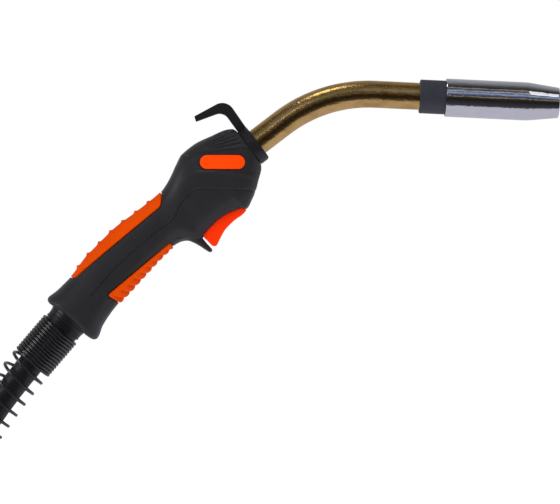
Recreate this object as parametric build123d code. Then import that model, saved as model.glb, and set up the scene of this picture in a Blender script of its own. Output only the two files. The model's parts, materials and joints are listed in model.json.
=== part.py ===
from build123d import *
import os
from math import cos, pi, radians, sin, sqrt

# MIG welding torch: curved neck, pistol-style handle with trigger, hanging hook and swivelling cable.
#
# Units are millimetres. The row frame has its origin at the wire exit of the contact tip, +X along
# the wire as it leaves, +Z up and +Y to the left of the torch. Three tilted work frames carry the
# rest, each with its own +X pointing forward: the nose frame (where the neck enters the handle), the
# handle frame (along the grip) and the rear frame (centre of the ball joint behind the grip).

# ---- driving dimensions -------------------------------------------------------------------------

# welding end, on the X axis
TIP_RECESS = 3.0
NOZZLE_LENGTH = 84.0
NOZZLE_RADIUS = 14.1
NOZZLE_BORE_RADIUS = 11.95
NOZZLE_MOUTH_RADIUS = 11.15
NOZZLE_WALL_AT_MOUTH = 1.6
NOZZLE_TAPER_LENGTH = 24.0
INSULATOR_LENGTH = 19.0
INSULATOR_RADIUS = 12.5
SEAT_CLEARANCE = 0.08
SEAT_LENGTH = 22.0
TIP_RADIUS = 5.0
TIP_LENGTH = 30.0
TIP_THREAD_RADIUS = 4.0
TIP_THREAD_LENGTH = 8.0
WIRE_HOLE_RADIUS = 0.65
HOLDER_RADIUS = 6.2
HOLDER_SHANK_RADIUS = 5.2
HOLDER_SHANK_LENGTH = 12.0
DIFFUSER_RADIUS = 9.0
DIFFUSER_SETBACK = 6.0
GAS_HOLES = 8
GAS_HOLE_RADIUS = 1.1
RETAINING_WIRE_RADIUS = 0.75

# neck: straight, one bend, straight into the handle
NECK_RADIUS = 10.0
NECK_WALL = 1.0
NECK_BEND_RADIUS = 105.0
NECK_BEND_DEG = 40.0
NECK_STRAIGHT = 36.0
NECK_TAIL = 19.3
NECK_IN_HANDLE = 30.0
LAYER_GAP = 0.05
CONDUCTOR_RADIUS = 7.0
CONDUCTOR_BORE_RADIUS = 3.6
LINER_RADIUS = 2.4
LINER_BORE_RADIUS = 1.25

# handle, in the handle frame
HANDLE_TILT_DEG = 47.0
SHELL_WALL = 3.6
SKIN_DEPTH = 2.0
CORE_HEIGHT = 4.4
CORE_RADIUS = 5.0
CORNER_FULLNESS = 1.06
# station, top height, bottom height, half width
HANDLE_STATIONS = [
    (-6.0, 17.5, -9.5, 14.2),
    (-14.0, 22.4, -14.2, 16.2),
    (-25.0, 27.4, -21.6, 19.0),
    (-38.5, 32.0, -27.0, 21.0),
    (-52.0, 32.5, -25.8, 21.0),
    (-66.0, 27.6, -21.8, 20.0),
    (-82.0, 23.6, -17.0, 18.0),
    (-100.0, 26.0, -11.8, 17.0),
    (-126.0, 29.2, -12.0, 17.0),
    (-152.0, 28.9, -13.4, 17.3),
    (-174.0, 25.8, -15.6, 19.0),
    (-189.0, 26.0, -19.8, 20.8),
    (-195.0, 23.4, -17.6, 19.0),
]
GUARD_WIDTH = 15.0
CAVITY_FRONT = -25.0
CAVITY_REAR = -174.0

# hook ring on the handle's nose, in the nose frame
NOSE_FACE = -11.5
RING_REAR = -11.3
RING_FRONT = -3.8
RING_RADIUS = 14.8
SPIGOT_RADIUS = 11.95
RUNNING_GAP = 0.06
LIP_RADIUS = 12.5
HOOK_WIDTH = 8.0

# trigger, in the handle frame
TRIGGER_PIVOT = (-47.8, -24.0)
TRIGGER_WIDTH = 13.6
TRIGGER_SLOT_WIDTH = 14.8
PIN_RADIUS = 1.5
PLUNGER_ARM = 10.2
PLUNGER_TIP_HEIGHT = -16.4
PLUNGER_RADIUS = 1.3
NUB_RADIUS = 1.6
NUB_WIDTH = 5.0
PIN_HALF_LENGTH = 11.0
SWITCH_FLOOR = -14.4
SWITCH_MIDDLE = -66.5
SWITCH_LENGTH = 24.0
SWITCH_WIDTH = 6.4
SWITCH_HEIGHT = 10.0
TERMINAL_SPREAD = 1.8
TRIGGER_SPRING_PLACE = -75.8
TRIGGER_SPRING_RADIUS = 2.3
TRIGGER_SPRING_WIRE_RADIUS = 0.35
TRIGGER_SPRING_TURNS = 5
TRIGGER_SPRING_FOOT = -26.7
TRIGGER_POCKET_RADIUS = 3.0

# power connection, in the handle frame
CONNECTOR_FRONT = -48.0
CONNECTOR_STEP = -62.0
CONNECTOR_REAR = -84.0
CONNECTOR_RADIUS = 7.4
CONNECTOR_TAIL_RADIUS = 6.2
CRIMP_RADIUS = 6.4
CRIMP_REAR = -93.0
CORE_FRONT = -88.0
CORE_REAR = -172.0

# handle screws, in the handle frame
SCREW_PLACES = [(-30.0, -18.0), (-50.0, 24.0), (-98.0, 13.8), (-150.0, 16.5), (-168.5, -8.5)]
SCREW_RADIUS = 1.5
SCREW_HEAD_RADIUS = 2.7
SCREW_HEAD_TOP = 8.5
SCREW_HEAD_HEIGHT = 2.4
SCREW_TIP = -9.0
BOSS_RADIUS = 4.2

# ball joint, spring and cable, in the rear frame
REAR_TILT_DEG = 52.2
BALL_CENTRE = (-189.6, 4.5)
BALL_RADIUS = 16.45
SLIP_RING_WALL = 1.0
COLLAR_START = 7.6
COLLAR_END = 13.6
COLLAR_RADIUS = 14.9
COLLAR_END_RADIUS = 14.2
CARRIER_RADIUS = 13.7
CARRIER_END = 43.0
CABLE_RADIUS = 9.6
STRANDS_RADIUS = 8.0
HOSE_RADIUS = 5.6
HOSE_BORE_RADIUS = 4.0
CABLE_START = -1.0
CABLE_END = 146.0
CUT_STEP = 3.0
CABLE_BEND_DEG = 7.7
CABLE_BEND_START = 46.0
CABLE_BEND_LENGTH = 72.0
SPRING_WIRE_RADIUS = 1.2
SPRING_CLOSE_RADIUS = 15.05
SPRING_OPEN_RADIUS = 15.0
SPRING_CLOSE_TURNS = 13
SPRING_CLOSE_PITCH = 2.5
SPRING_OPEN_TURNS = 6
SPRING_OPEN_PITCH = 10.3
SPRING_START = 15.1

# ---- places worked out from the driving dimensions ----------------------------------------------

NOZZLE_MOUTH = TIP_RECESS
NOZZLE_REAR = NOZZLE_MOUTH - NOZZLE_LENGTH
INSULATOR_REAR = NOZZLE_REAR - INSULATOR_LENGTH
NECK_FRONT = NOZZLE_REAR + 14.0
BEND_START = INSULATOR_REAR - NECK_STRAIGHT + 3.0
BEND_END = (
    BEND_START - NECK_BEND_RADIUS * sin(radians(NECK_BEND_DEG)),
    -NECK_BEND_RADIUS * (1 - cos(radians(NECK_BEND_DEG))),
)
NOSE = (
    BEND_END[0] - NECK_TAIL * cos(radians(NECK_BEND_DEG)),
    BEND_END[1] - NECK_TAIL * sin(radians(NECK_BEND_DEG)),
)

NOSE_FRAME = Location((NOSE[0], 0, NOSE[1])) * Rotation(0, -NECK_BEND_DEG, 0)
HANDLE_FRAME = Location((NOSE[0], 0, NOSE[1])) * Rotation(0, -HANDLE_TILT_DEG, 0)
# the nose frame seen from the handle frame
NOSE_IN_HANDLE = Rotation(0, HANDLE_TILT_DEG - NECK_BEND_DEG, 0)
# the rear frame seen from the handle frame
REAR_IN_HANDLE = Location((BALL_CENTRE[0], 0, BALL_CENTRE[1])) * Rotation(
    0, HANDLE_TILT_DEG - REAR_TILT_DEG, 0
)
REAR_FRAME = HANDLE_FRAME * REAR_IN_HANDLE

SLIP_RING_RADIUS = BALL_RADIUS + RUNNING_GAP + SLIP_RING_WALL
SOCKET_RADIUS = SLIP_RING_RADIUS + RUNNING_GAP
HUGE = 200.0

# ---- shape helpers ------------------------------------------------------------------------------


def rod(radius, start, end, bore=0.0):
    """A cylinder along X from start to end, with an optional bore."""
    length = abs(end - start)
    middle = Location(((start + end) / 2, 0, 0)) * Rotation(0, 90, 0)
    solid = Cylinder(radius, length)
    if bore:
        solid -= Cylinder(bore, length + 2)
    return middle * solid


def turned(points):
    """A solid of revolution about X from (x, radius) corners."""
    corners = [(x, radius) for x, radius in points]
    face = make_face(Plane.XZ * Polyline(*corners, close=True))
    return revolve(face, Axis.X)


def hexagon_bar(across_flats, start, end, bore):
    """A hexagonal bar along X with a round bore."""
    face = RegularPolygon(across_flats / 2, 6, major_radius=False) - Circle(bore)
    return Location((start, 0, 0)) * Rotation(0, 90, 0) * extrude(face, end - start)


def side_plate(points, width):
    """A plate with a side outline of (x, z) corners, centred on the Y = 0 plane."""
    face = make_face(Plane.XZ * Polyline(*points, close=True))
    return extrude(face, width / 2, both=True)


def cross_bar(place, radius, start, end):
    """A cylinder along Y at the (x, z) place, between two Y values."""
    middle = Location((place[0], (start + end) / 2, place[1])) * Rotation(90, 0, 0)
    return middle * Cylinder(radius, abs(end - start))


def half(solid, side):
    """The part of a solid on one side of the Y = 0 plane: side is -1 or 1."""
    keep = Location((0, side * HUGE, 0)) * Box(6 * HUGE, 2 * HUGE, 4 * HUGE)
    return solid & keep


# ---- welding end --------------------------------------------------------------------------------


def gas_nozzle():
    taper = NOZZLE_MOUTH - NOZZLE_TAPER_LENGTH
    bore = NOZZLE_MOUTH_RADIUS - NOZZLE_WALL_AT_MOUTH
    return turned(
        [
            (NOZZLE_REAR + 0.2, NOZZLE_BORE_RADIUS),
            (NOZZLE_REAR + 0.2, NOZZLE_RADIUS - 0.6),
            (NOZZLE_REAR + 0.8, NOZZLE_RADIUS),
            (taper, NOZZLE_RADIUS),
            (taper + 6.0, NOZZLE_RADIUS - 0.6),
            (NOZZLE_MOUTH, NOZZLE_MOUTH_RADIUS),
            (NOZZLE_MOUTH, bore),
            (taper + 6.0, NOZZLE_BORE_RADIUS),
        ]
    )


def nozzle_insulator():
    """Insulating sleeve: a ring behind the nozzle and a smaller seat inside it, with a spring groove."""
    seat = NOZZLE_BORE_RADIUS - SEAT_CLEARANCE
    seat_front = NOZZLE_REAR + SEAT_LENGTH
    groove = retaining_groove_place()
    bore = NECK_RADIUS
    front_bore = 9.3
    return turned(
        [
            (INSULATOR_REAR, bore),
            (INSULATOR_REAR, INSULATOR_RADIUS - 0.5),
            (INSULATOR_REAR + 0.5, INSULATOR_RADIUS),
            (NOZZLE_REAR, INSULATOR_RADIUS),
            (NOZZLE_REAR, seat),
            (groove - 0.9, seat),
            (groove - 0.9, seat - 1.6),
            (groove + 0.9, seat - 1.6),
            (groove + 0.9, seat),
            (seat_front, seat),
            (seat_front, front_bore),
            (NECK_FRONT, front_bore),
            (NECK_FRONT, bore),
        ]
    )


def retaining_groove_place():
    return NOZZLE_REAR + SEAT_LENGTH - 4.5


def nozzle_retaining_spring():
    """Sprung wire ring, open by a short gap, that grips the nozzle's bore."""
    radius = NOZZLE_BORE_RADIUS - SEAT_CLEARANCE - RETAINING_WIRE_RADIUS
    ring = Rotation(0, 90, 0) * Torus(radius, RETAINING_WIRE_RADIUS)
    gap = Location((0, 0, radius)) * Box(4, 3.0, 6)
    return Location((retaining_groove_place(), 0, 0)) * (ring - gap)


def tip_holder():
    """Brass holder: threaded into the conductor behind, and bored for the contact tip in front."""
    front = -TIP_LENGTH
    rear = NECK_FRONT - HOLDER_SHANK_LENGTH
    body = rod(HOLDER_RADIUS, NECK_FRONT + 2.0, front - 0.1)
    body += rod(HOLDER_SHANK_RADIUS, rear, NECK_FRONT + 2.0)
    body -= rod(TIP_THREAD_RADIUS, front - TIP_THREAD_LENGTH, front + 1)
    return body - rod(LINER_RADIUS + LAYER_GAP, rear - 1, front)


def gas_diffuser():
    """Insulating sleeve round the tip holder with a ring of radial gas holes."""
    front = -TIP_LENGTH - DIFFUSER_SETBACK
    rear = NECK_FRONT + 2.5
    body = rod(DIFFUSER_RADIUS, rear, front, bore=HOLDER_RADIUS + LAYER_GAP)
    for number in range(GAS_HOLES):
        turn = Rotation(360 / GAS_HOLES * number, 0, 0)
        drill = Location((rear + 14.0, 0, DIFFUSER_RADIUS)) * Cylinder(GAS_HOLE_RADIUS, 10)
        body -= turn * drill
    return body


def contact_tip():
    """Copper tip: threaded shank, straight body and coned front, drilled for the wire."""
    solid = turned(
        [
            (-TIP_LENGTH - TIP_THREAD_LENGTH + 0.5, 0),
            (-TIP_LENGTH - TIP_THREAD_LENGTH + 0.5, TIP_THREAD_RADIUS),
            (-TIP_LENGTH, TIP_THREAD_RADIUS),
            (-TIP_LENGTH, TIP_RADIUS),
            (-6.0, TIP_RADIUS),
            (-0.6, 2.9),
            (0, 2.4),
            (0, 0),
        ]
    )
    return solid - rod(WIRE_HOLE_RADIUS, -TIP_LENGTH - TIP_THREAD_LENGTH - 1, 1)


# ---- neck ---------------------------------------------------------------------------------------


def neck_path(front, tail_end):
    """Centreline from a place on the X axis, round the bend and back into the handle."""
    angle = radians(NECK_BEND_DEG)
    start = (front, 0, 0)
    bend_start = (BEND_START, 0, 0)
    bend_middle = (
        BEND_START - NECK_BEND_RADIUS * sin(angle / 2),
        0,
        -NECK_BEND_RADIUS * (1 - cos(angle / 2)),
    )
    bend_end = (BEND_END[0], 0, BEND_END[1])
    reach = NECK_TAIL + tail_end
    tail = (BEND_END[0] - reach * cos(angle), 0, BEND_END[1] - reach * sin(angle))
    return Wire(
        [
            Line(start, bend_start),
            ThreePointArc(bend_start, bend_middle, bend_end),
            Line(bend_end, tail),
        ]
    )


def neck_layer(radius, bore, front, tail_end):
    """A round tube along the neck's centreline."""
    path = neck_path(front, tail_end)
    start = Plane(origin=(front, 0, 0), x_dir=(0, 1, 0), z_dir=(-1, 0, 0))
    tube = sweep(start * Circle(radius), path=path)
    return tube - sweep(start * Circle(bore), path=path)


def neck_outer_tube():
    return neck_layer(NECK_RADIUS, NECK_RADIUS - NECK_WALL, NECK_FRONT, NECK_IN_HANDLE)


def neck_insulation_sleeve():
    outside = NECK_RADIUS - NECK_WALL - LAYER_GAP
    inside = CONDUCTOR_RADIUS + LAYER_GAP
    return neck_layer(outside, inside, NECK_FRONT, NECK_IN_HANDLE + 3.0)


def neck_inner_conductor():
    front = NECK_FRONT - 0.5
    tube = neck_layer(CONDUCTOR_RADIUS, CONDUCTOR_BORE_RADIUS, front, NECK_IN_HANDLE + 12.0)
    shank_room = rod(HOLDER_SHANK_RADIUS, NECK_FRONT - HOLDER_SHANK_LENGTH - 0.1, NECK_FRONT)
    return tube - shank_room


def wire_liner():
    return neck_layer(LINER_RADIUS, LINER_BORE_RADIUS, -TIP_LENGTH - 9.0, NECK_IN_HANDLE + 16.0)


def neck_base_nut():
    """Brass hexagon that the handle's ribs clamp, holding the neck from turning."""
    start = -NECK_IN_HANDLE - 12.0
    nut = hexagon_bar(20.0, start, -NECK_IN_HANDLE - 3.2, CONDUCTOR_RADIUS)
    return NOSE_FRAME * nut


# ---- hanging hook -------------------------------------------------------------------------------


def hanging_hook():
    """Ring that turns on the handle's nose, with an arm that bends back over the head."""
    bore = SPIGOT_RADIUS + RUNNING_GAP
    lip_room = LIP_RADIUS + 0.25
    ring = turned(
        [
            (RING_REAR, bore),
            (RING_REAR, RING_RADIUS),
            (RING_FRONT - 2.4, RING_RADIUS),
            (RING_FRONT, RING_RADIUS - 1.8),
            (RING_FRONT, lip_room),
            (RING_FRONT - 1.6, lip_room),
            (RING_FRONT - 1.6, bore),
        ]
    )
    arm = side_plate(
        [
            (RING_REAR, RING_RADIUS - 1.8),
            (RING_REAR + 0.9, 28.5),
            (-15.6, 34.5),
            (-30.7, 39.0),
            (-30.2, 42.7),
            (-20.0, 42.7),
            (-7.9, 37.8),
            (RING_FRONT - 0.2, 30.0),
            (RING_FRONT - 0.2, RING_RADIUS - 1.8),
        ],
        HOOK_WIDTH,
    )
    return NOSE_FRAME * (ring + arm)


# ---- handle shells and grip pads ----------------------------------------------------------------


def handle_body(inset, first=HANDLE_STATIONS[0][0], last=HANDLE_STATIONS[-1][0]):
    """Eight-sided body through the handle's stations, shrunk by an inset.

    It is what four outlines have in common: from the side, from above and from both diagonals.
    """
    upper, lower, half_widths, high_diagonals, low_diagonals = [], [], [], [], []
    for station, top, bottom, half_width in HANDLE_STATIONS:
        if station > first or station < last:
            continue
        middle = (top + bottom) / 2 * sqrt(0.5)
        half_height = (top - bottom) / 2
        reach = CORNER_FULLNESS * sqrt((half_height**2 + half_width**2) / 2) - inset
        upper.append((station, top - inset))
        lower.append((station, bottom + inset))
        half_widths.append((station, half_width - inset))
        high_diagonals.append((station, middle + reach))
        low_diagonals.append((station, middle - reach))
    mirrored_widths = [(station, -width) for station, width in half_widths]
    body = side_plate(upper + lower[::-1], HUGE)
    body &= Rotation(90, 0, 0) * side_plate(half_widths + mirrored_widths[::-1], HUGE)
    for turn in (-45, 45):
        body &= Rotation(turn, 0, 0) * side_plate(high_diagonals + low_diagonals[::-1], HUGE)
    return body


def upper_pad_region():
    return side_plate(
        [(-174, 25), (-171, 22.3), (-87.2, 15.4), (-83.5, 18.6), (-80.5, 24), (-80.5, 40), (-174, 40)],
        HUGE,
    )


def lower_pad_region():
    return side_plate(
        [(-99.5, -9.6), (-101.6, -8.2), (-160.3, -3.7), (-163.2, -5.2), (-161.4, -30), (-99.5, -30)],
        HUGE,
    )


def badge_region():
    """Stadium outline of the plain badge plates, level when the neck's front is level."""
    outline = Rotation(90, 0, 0) * SlotOverall(33.0, 10.4)
    plate = extrude(outline, HUGE / 2, both=True)
    return Location((-33.1, 0, 7.0)) * Rotation(0, HANDLE_TILT_DEG - 2.7, 0) * plate


def finger_guard():
    """Spur below the trigger that keeps the fingers off it."""
    outline = [
        (-82.4, -10),
        (-82.9, -23.7),
        (-83.2, -32.6),
        (-85.7, -33.9),
        (-88.8, -23.2),
        (-93.3, -13.9),
        (-99, -8),
    ]
    return side_plate(outline, GUARD_WIDTH)


def trigger_skirt():
    """Lip of the head just in front of the trigger."""
    return side_plate([(-28, -19), (-30, -24.2), (-38.5, -27.9), (-43.9, -30), (-43.9, -19)], GUARD_WIDTH)


def handle_blank():
    """The closed handle before it is split and before the pads and badges are let in."""
    outside = handle_body(0.0) + finger_guard() + trigger_skirt()
    nose_trim = Location((NOSE_FACE + HUGE, 0, 0)) * Box(2 * HUGE, 2 * HUGE, 2 * HUGE)
    outside -= NOSE_IN_HANDLE * nose_trim
    blank = outside - handle_body(SHELL_WALL, CAVITY_FRONT, CAVITY_REAR)
    for place in SCREW_PLACES:
        blank += cross_bar(place, BOSS_RADIUS, -HUGE, HUGE) & outside
    spigot = rod(SPIGOT_RADIUS, NOSE_FACE - 2, RING_FRONT - 0.4)
    lip = rod(LIP_RADIUS, RING_FRONT - 1.4, RING_FRONT - 0.4)
    blank += NOSE_IN_HANDLE * (spigot + lip)
    return cut_handle_openings(blank)


def cut_handle_openings(blank):
    blank -= NOSE_IN_HANDLE * rod(NECK_RADIUS, -NECK_IN_HANDLE - 0.1, 5)
    blank -= NOSE_IN_HANDLE * rod(11.8, -NECK_IN_HANDLE - 20, -NECK_IN_HANDLE)
    front, rear = -44.0, -82.6
    slot = Box(front - rear, TRIGGER_SLOT_WIDTH, 26)
    blank -= Location(((front + rear) / 2, 0, -23)) * slot
    blank -= cross_bar(TRIGGER_PIVOT, PIN_RADIUS, -PIN_HALF_LENGTH, PIN_HALF_LENGTH)
    blank -= REAR_IN_HANDLE * Sphere(SOCKET_RADIUS)
    blank -= Location((-176, 0, CORE_HEIGHT)) * Rotation(0, 90, 0) * Cylinder(CORE_RADIUS + 1.5, 30)
    return blank - REAR_IN_HANDLE * rear_mouth()


def rear_mouth():
    """Coned opening behind the ball that lets the collar swing."""
    lip = 5.0
    radius = sqrt(SOCKET_RADIUS**2 - lip**2)
    return turned([(-lip + 0.5, 0), (-lip + 0.5, radius), (-lip - 9, radius + 3.0), (-lip - 9, 0)])


def screw_hole(place, side):
    """Hole for one handle screw: counterbored on the left, a blind pilot on the right."""
    if side < 0:
        return cross_bar(place, SCREW_RADIUS, SCREW_TIP - 1, 1)
    seat = SCREW_HEAD_TOP - SCREW_HEAD_HEIGHT
    return cross_bar(place, SCREW_RADIUS, -1, seat + 1) + cross_bar(
        place, SCREW_HEAD_RADIUS + 0.2, seat, HUGE / 4
    )


def handle_screws():
    seat = SCREW_HEAD_TOP - SCREW_HEAD_HEIGHT
    screws = []
    for place in SCREW_PLACES:
        screw = cross_bar(place, SCREW_RADIUS, SCREW_TIP, seat)
        screw += cross_bar(place, SCREW_HEAD_RADIUS, seat, SCREW_HEAD_TOP)
        slot = Location((place[0], SCREW_HEAD_TOP, place[1])) * Box(0.8, 2.0, 4.0)
        screws.append(HANDLE_FRAME * (screw - slot))
    return Compound(children=screws)


def handle_pieces():
    """Both shells with their let-in grip pads and badge plates, by node name."""
    skin = handle_body(0.0) - handle_body(SKIN_DEPTH)
    regions = {
        "upper_grip_pad": upper_pad_region(),
        "lower_grip_pad": lower_pad_region(),
        "badge_plate": badge_region(),
    }
    inlays = {name: skin & region for name, region in regions.items()}
    shell = handle_blank()
    for inlay in inlays.values():
        shell -= inlay
    pieces = {}
    for name, side in (("right", -1), ("left", 1)):
        holes = [screw_hole(place, side) for place in SCREW_PLACES]
        pieces["handle_shell_" + name] = half(shell, side) - holes
        for inlay, solid in inlays.items():
            pieces[inlay + "_" + name] = half(solid, side) - holes
    return {name: HANDLE_FRAME * solid for name, solid in pieces.items()}


# ---- trigger and switch -------------------------------------------------------------------------


def trigger():
    """Lever hung from its front end, with a rounded nub that presses the switch."""
    lever = side_plate(
        [
            (-44.6, -27.7),
            (-46.3, -29.9),
            (-60.2, -30.0),
            (-66.5, -30.9),
            (-77.2, -33.3),
            (-80.7, -32.6),
            (-81.3, -30.3),
            (-81.4, -20.6),
            (-74.0, -18.8),
            (-50.0, -20.6),
            (-45.2, -22.5),
        ],
        TRIGGER_WIDTH,
    )
    nub_x = TRIGGER_PIVOT[0] - PLUNGER_ARM
    nub_z = PLUNGER_TIP_HEIGHT - RUNNING_GAP - NUB_RADIUS
    nub_front, nub_back, nub_root = nub_x + NUB_RADIUS, nub_x - NUB_RADIUS, nub_z - 4.0
    lever += cross_bar((nub_x, nub_z), NUB_RADIUS, -NUB_WIDTH / 2, NUB_WIDTH / 2)
    lever += side_plate(
        [(nub_back, nub_z), (nub_front, nub_z), (nub_front, nub_root), (nub_back, nub_root)], NUB_WIDTH
    )
    lever -= Location((TRIGGER_SPRING_PLACE, 0, -21)) * Cylinder(TRIGGER_POCKET_RADIUS, 12)
    return HANDLE_FRAME * (lever - cross_bar(TRIGGER_PIVOT, PIN_RADIUS + RUNNING_GAP, -HUGE, HUGE))


def trigger_pin():
    return HANDLE_FRAME * cross_bar(TRIGGER_PIVOT, PIN_RADIUS, -PIN_HALF_LENGTH, PIN_HALF_LENGTH)


def trigger_spring():
    """Compression spring between the trigger's pocket and the switch carrier."""
    height = SWITCH_FLOOR - 1.0 - TRIGGER_SPRING_FOOT
    path = Helix(height / TRIGGER_SPRING_TURNS, height, TRIGGER_SPRING_RADIUS)
    section = Plane(origin=path @ 0, z_dir=path % 0) * Circle(TRIGGER_SPRING_WIRE_RADIUS)
    spring = sweep(section, path=path, is_frenet=True)
    foot = TRIGGER_SPRING_FOOT + TRIGGER_SPRING_WIRE_RADIUS
    return HANDLE_FRAME * Location((TRIGGER_SPRING_PLACE, 0, foot)) * spring


def switch_body():
    """Snap-action switch with side ears resting in the shells."""
    middle = SWITCH_FLOOR + SWITCH_HEIGHT / 2
    body = Location((SWITCH_MIDDLE, 0, middle)) * Box(SWITCH_LENGTH, SWITCH_WIDTH, SWITCH_HEIGHT)
    body += Location((SWITCH_MIDDLE, 0, middle + 0.6)) * Box(5.0, 24.0, 5.0)
    plunger_x = TRIGGER_PIVOT[0] - PLUNGER_ARM
    plunger_hole = Location((plunger_x, 0, SWITCH_FLOOR)) * Cylinder(PLUNGER_RADIUS, 8.0)
    return HANDLE_FRAME * (body - plunger_hole)


def switch_plunger():
    plunger_x = TRIGGER_PIVOT[0] - PLUNGER_ARM
    top = SWITCH_FLOOR + 2.6
    rod_solid = Cylinder(PLUNGER_RADIUS - RUNNING_GAP, top - PLUNGER_TIP_HEIGHT)
    return HANDLE_FRAME * Location((plunger_x, 0, (top + PLUNGER_TIP_HEIGHT) / 2)) * rod_solid


def switch_terminals():
    blades = []
    rear = SWITCH_MIDDLE - SWITCH_LENGTH / 2
    for side in (-1, 1):
        place = (rear - 2.5, side * TERMINAL_SPREAD, SWITCH_FLOOR + SWITCH_HEIGHT / 2)
        blade = Location(place) * Box(5.0, 0.6, 3.2)
        blades.append(HANDLE_FRAME * blade)
    return Compound(children=blades)


def control_wires():
    """Two thin wires from the switch back along the cavity to the cable."""
    wires = []
    for side in (-1, 1):
        path = Spline(
            (-84.4, side * TERMINAL_SPREAD, SWITCH_FLOOR + SWITCH_HEIGHT / 2),
            (-95.0, side * 6.0, -4.0),
            (-120.0, side * 8.0, -1.0),
            (-168.0, side * 8.0, 1.0),
        )
        section = Plane(origin=path @ 0, z_dir=path % 0) * Circle(0.8)
        wires.append(HANDLE_FRAME * sweep(section, path=path))
    return Compound(children=wires)


# ---- power connection inside the handle ---------------------------------------------------------


def cable_connector():
    """Brass union between the neck's conductor and the cable's copper."""
    union = turned(
        [
            (CONNECTOR_FRONT, CONDUCTOR_BORE_RADIUS),
            (CONNECTOR_FRONT, CONNECTOR_RADIUS),
            (CONNECTOR_STEP, CONNECTOR_RADIUS),
            (CONNECTOR_STEP, CONNECTOR_TAIL_RADIUS),
            (CONNECTOR_REAR, CONNECTOR_TAIL_RADIUS),
            (CONNECTOR_REAR, CONDUCTOR_BORE_RADIUS),
        ]
    )
    return HANDLE_FRAME * Location((0, 0, CORE_HEIGHT)) * union


def crimp_sleeve():
    """Crimped copper sleeve that joins the union to the cable's core."""
    front = CONNECTOR_REAR - 0.2
    sleeve = turned(
        [
            (front, CONDUCTOR_BORE_RADIUS),
            (front, CRIMP_RADIUS),
            (CRIMP_REAR, CRIMP_RADIUS),
            (CRIMP_REAR, CORE_RADIUS),
            (CORE_FRONT, CORE_RADIUS),
            (CORE_FRONT, CONDUCTOR_BORE_RADIUS),
        ]
    )
    return HANDLE_FRAME * Location((0, 0, CORE_HEIGHT)) * sleeve


def cable_core_in_handle():
    core = rod(CORE_RADIUS, CORE_REAR, CORE_FRONT - 0.1, bore=LINER_RADIUS + 1.0)
    return HANDLE_FRAME * Location((0, 0, CORE_HEIGHT)) * core


# ---- ball joint, spring and cable ---------------------------------------------------------------


def ball_slip_ring():
    """Floating shell between the ball and the handle's socket."""
    shell = Sphere(SLIP_RING_RADIUS) - Sphere(BALL_RADIUS + RUNNING_GAP)
    band = rod(HUGE / 4, -3.0, 9.0)
    return REAR_FRAME * (shell & band)


def swivel_ball():
    """Hollow ball with the tapered collar and the carrier that the bend spring grips."""
    ball = Sphere(BALL_RADIUS) & rod(HUGE / 4, -COLLAR_START, 9.5)
    collar = turned(
        [
            (-COLLAR_START + 2.0, 0),
            (-COLLAR_START + 2.0, COLLAR_RADIUS),
            (-COLLAR_START - 2.6, COLLAR_RADIUS),
            (-COLLAR_START - 2.6, COLLAR_RADIUS - 0.4),
            (-COLLAR_END, COLLAR_END_RADIUS),
            (-COLLAR_END, CARRIER_RADIUS),
            (-CARRIER_END, CARRIER_RADIUS),
            (-CARRIER_END, 0),
        ]
    )
    entry = turned([(12, 0), (12, 14), (2, CABLE_RADIUS), (2, 0)])
    return REAR_FRAME * (ball + collar - rod(CABLE_RADIUS, -CARRIER_END - 1, 12) - entry)


def cable_point(distance, out=0.0, turn=0.0):
    """A point near the cable's centreline: a distance back from the ball, offset out at an angle."""
    bend = radians(CABLE_BEND_DEG)
    bend_radius = CABLE_BEND_LENGTH / bend
    along = min(max(distance - CABLE_BEND_START, 0.0), CABLE_BEND_LENGTH)
    beyond = max(distance - CABLE_BEND_START - CABLE_BEND_LENGTH, 0.0)
    angle = along / bend_radius
    x = -min(distance, CABLE_BEND_START) - bend_radius * sin(angle) - beyond * cos(angle)
    z = -bend_radius * (1 - cos(angle)) - beyond * sin(angle)
    return (
        x - out * sin(turn) * sin(angle),
        out * cos(turn),
        z + out * sin(turn) * cos(angle),
    )


def cable_path(start, end):
    """Centreline of the cable: straight in the carrier, then a gentle bend, then straight."""
    bend_end = CABLE_BEND_START + CABLE_BEND_LENGTH
    return Wire(
        [
            Line(cable_point(start), cable_point(CABLE_BEND_START)),
            ThreePointArc(
                cable_point(CABLE_BEND_START),
                cable_point(CABLE_BEND_START + CABLE_BEND_LENGTH / 2),
                cable_point(bend_end),
            ),
            Line(cable_point(bend_end), cable_point(end)),
        ]
    )


def cable_layer(radius, bore, cut_steps):
    """One tube of the cable; each layer inwards stands out of the cut end by one more step."""
    path = cable_path(CABLE_START, CABLE_END + cut_steps * CUT_STEP)
    plane = Plane(origin=cable_point(CABLE_START), x_dir=(0, 1, 0), z_dir=(-1, 0, 0))
    tube = sweep(plane * Circle(radius), path=path) - sweep(plane * Circle(bore), path=path)
    return REAR_FRAME * tube


def bend_spring():
    """One wire: close turns round the carrier, then open turns round the cable."""
    steps = 8
    turns = SPRING_CLOSE_TURNS + SPRING_OPEN_TURNS
    points = []
    distance = SPRING_START
    for step in range(turns * steps + 1):
        turn = step / steps
        opening = min(max(turn - SPRING_CLOSE_TURNS + 0.5, 0.0), 1.0)
        radius = SPRING_CLOSE_RADIUS + (SPRING_OPEN_RADIUS - SPRING_CLOSE_RADIUS) * opening
        pitch = SPRING_CLOSE_PITCH + (SPRING_OPEN_PITCH - SPRING_CLOSE_PITCH) * opening
        points.append(cable_point(distance, radius, 2 * pi * turn))
        distance += pitch / steps
    path = Spline(*points)
    section = Plane(origin=path @ 0, z_dir=path % 0) * Circle(SPRING_WIRE_RADIUS)
    return REAR_FRAME * sweep(section, path=path, is_frenet=True)


# ---- build --------------------------------------------------------------------------------------


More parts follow.
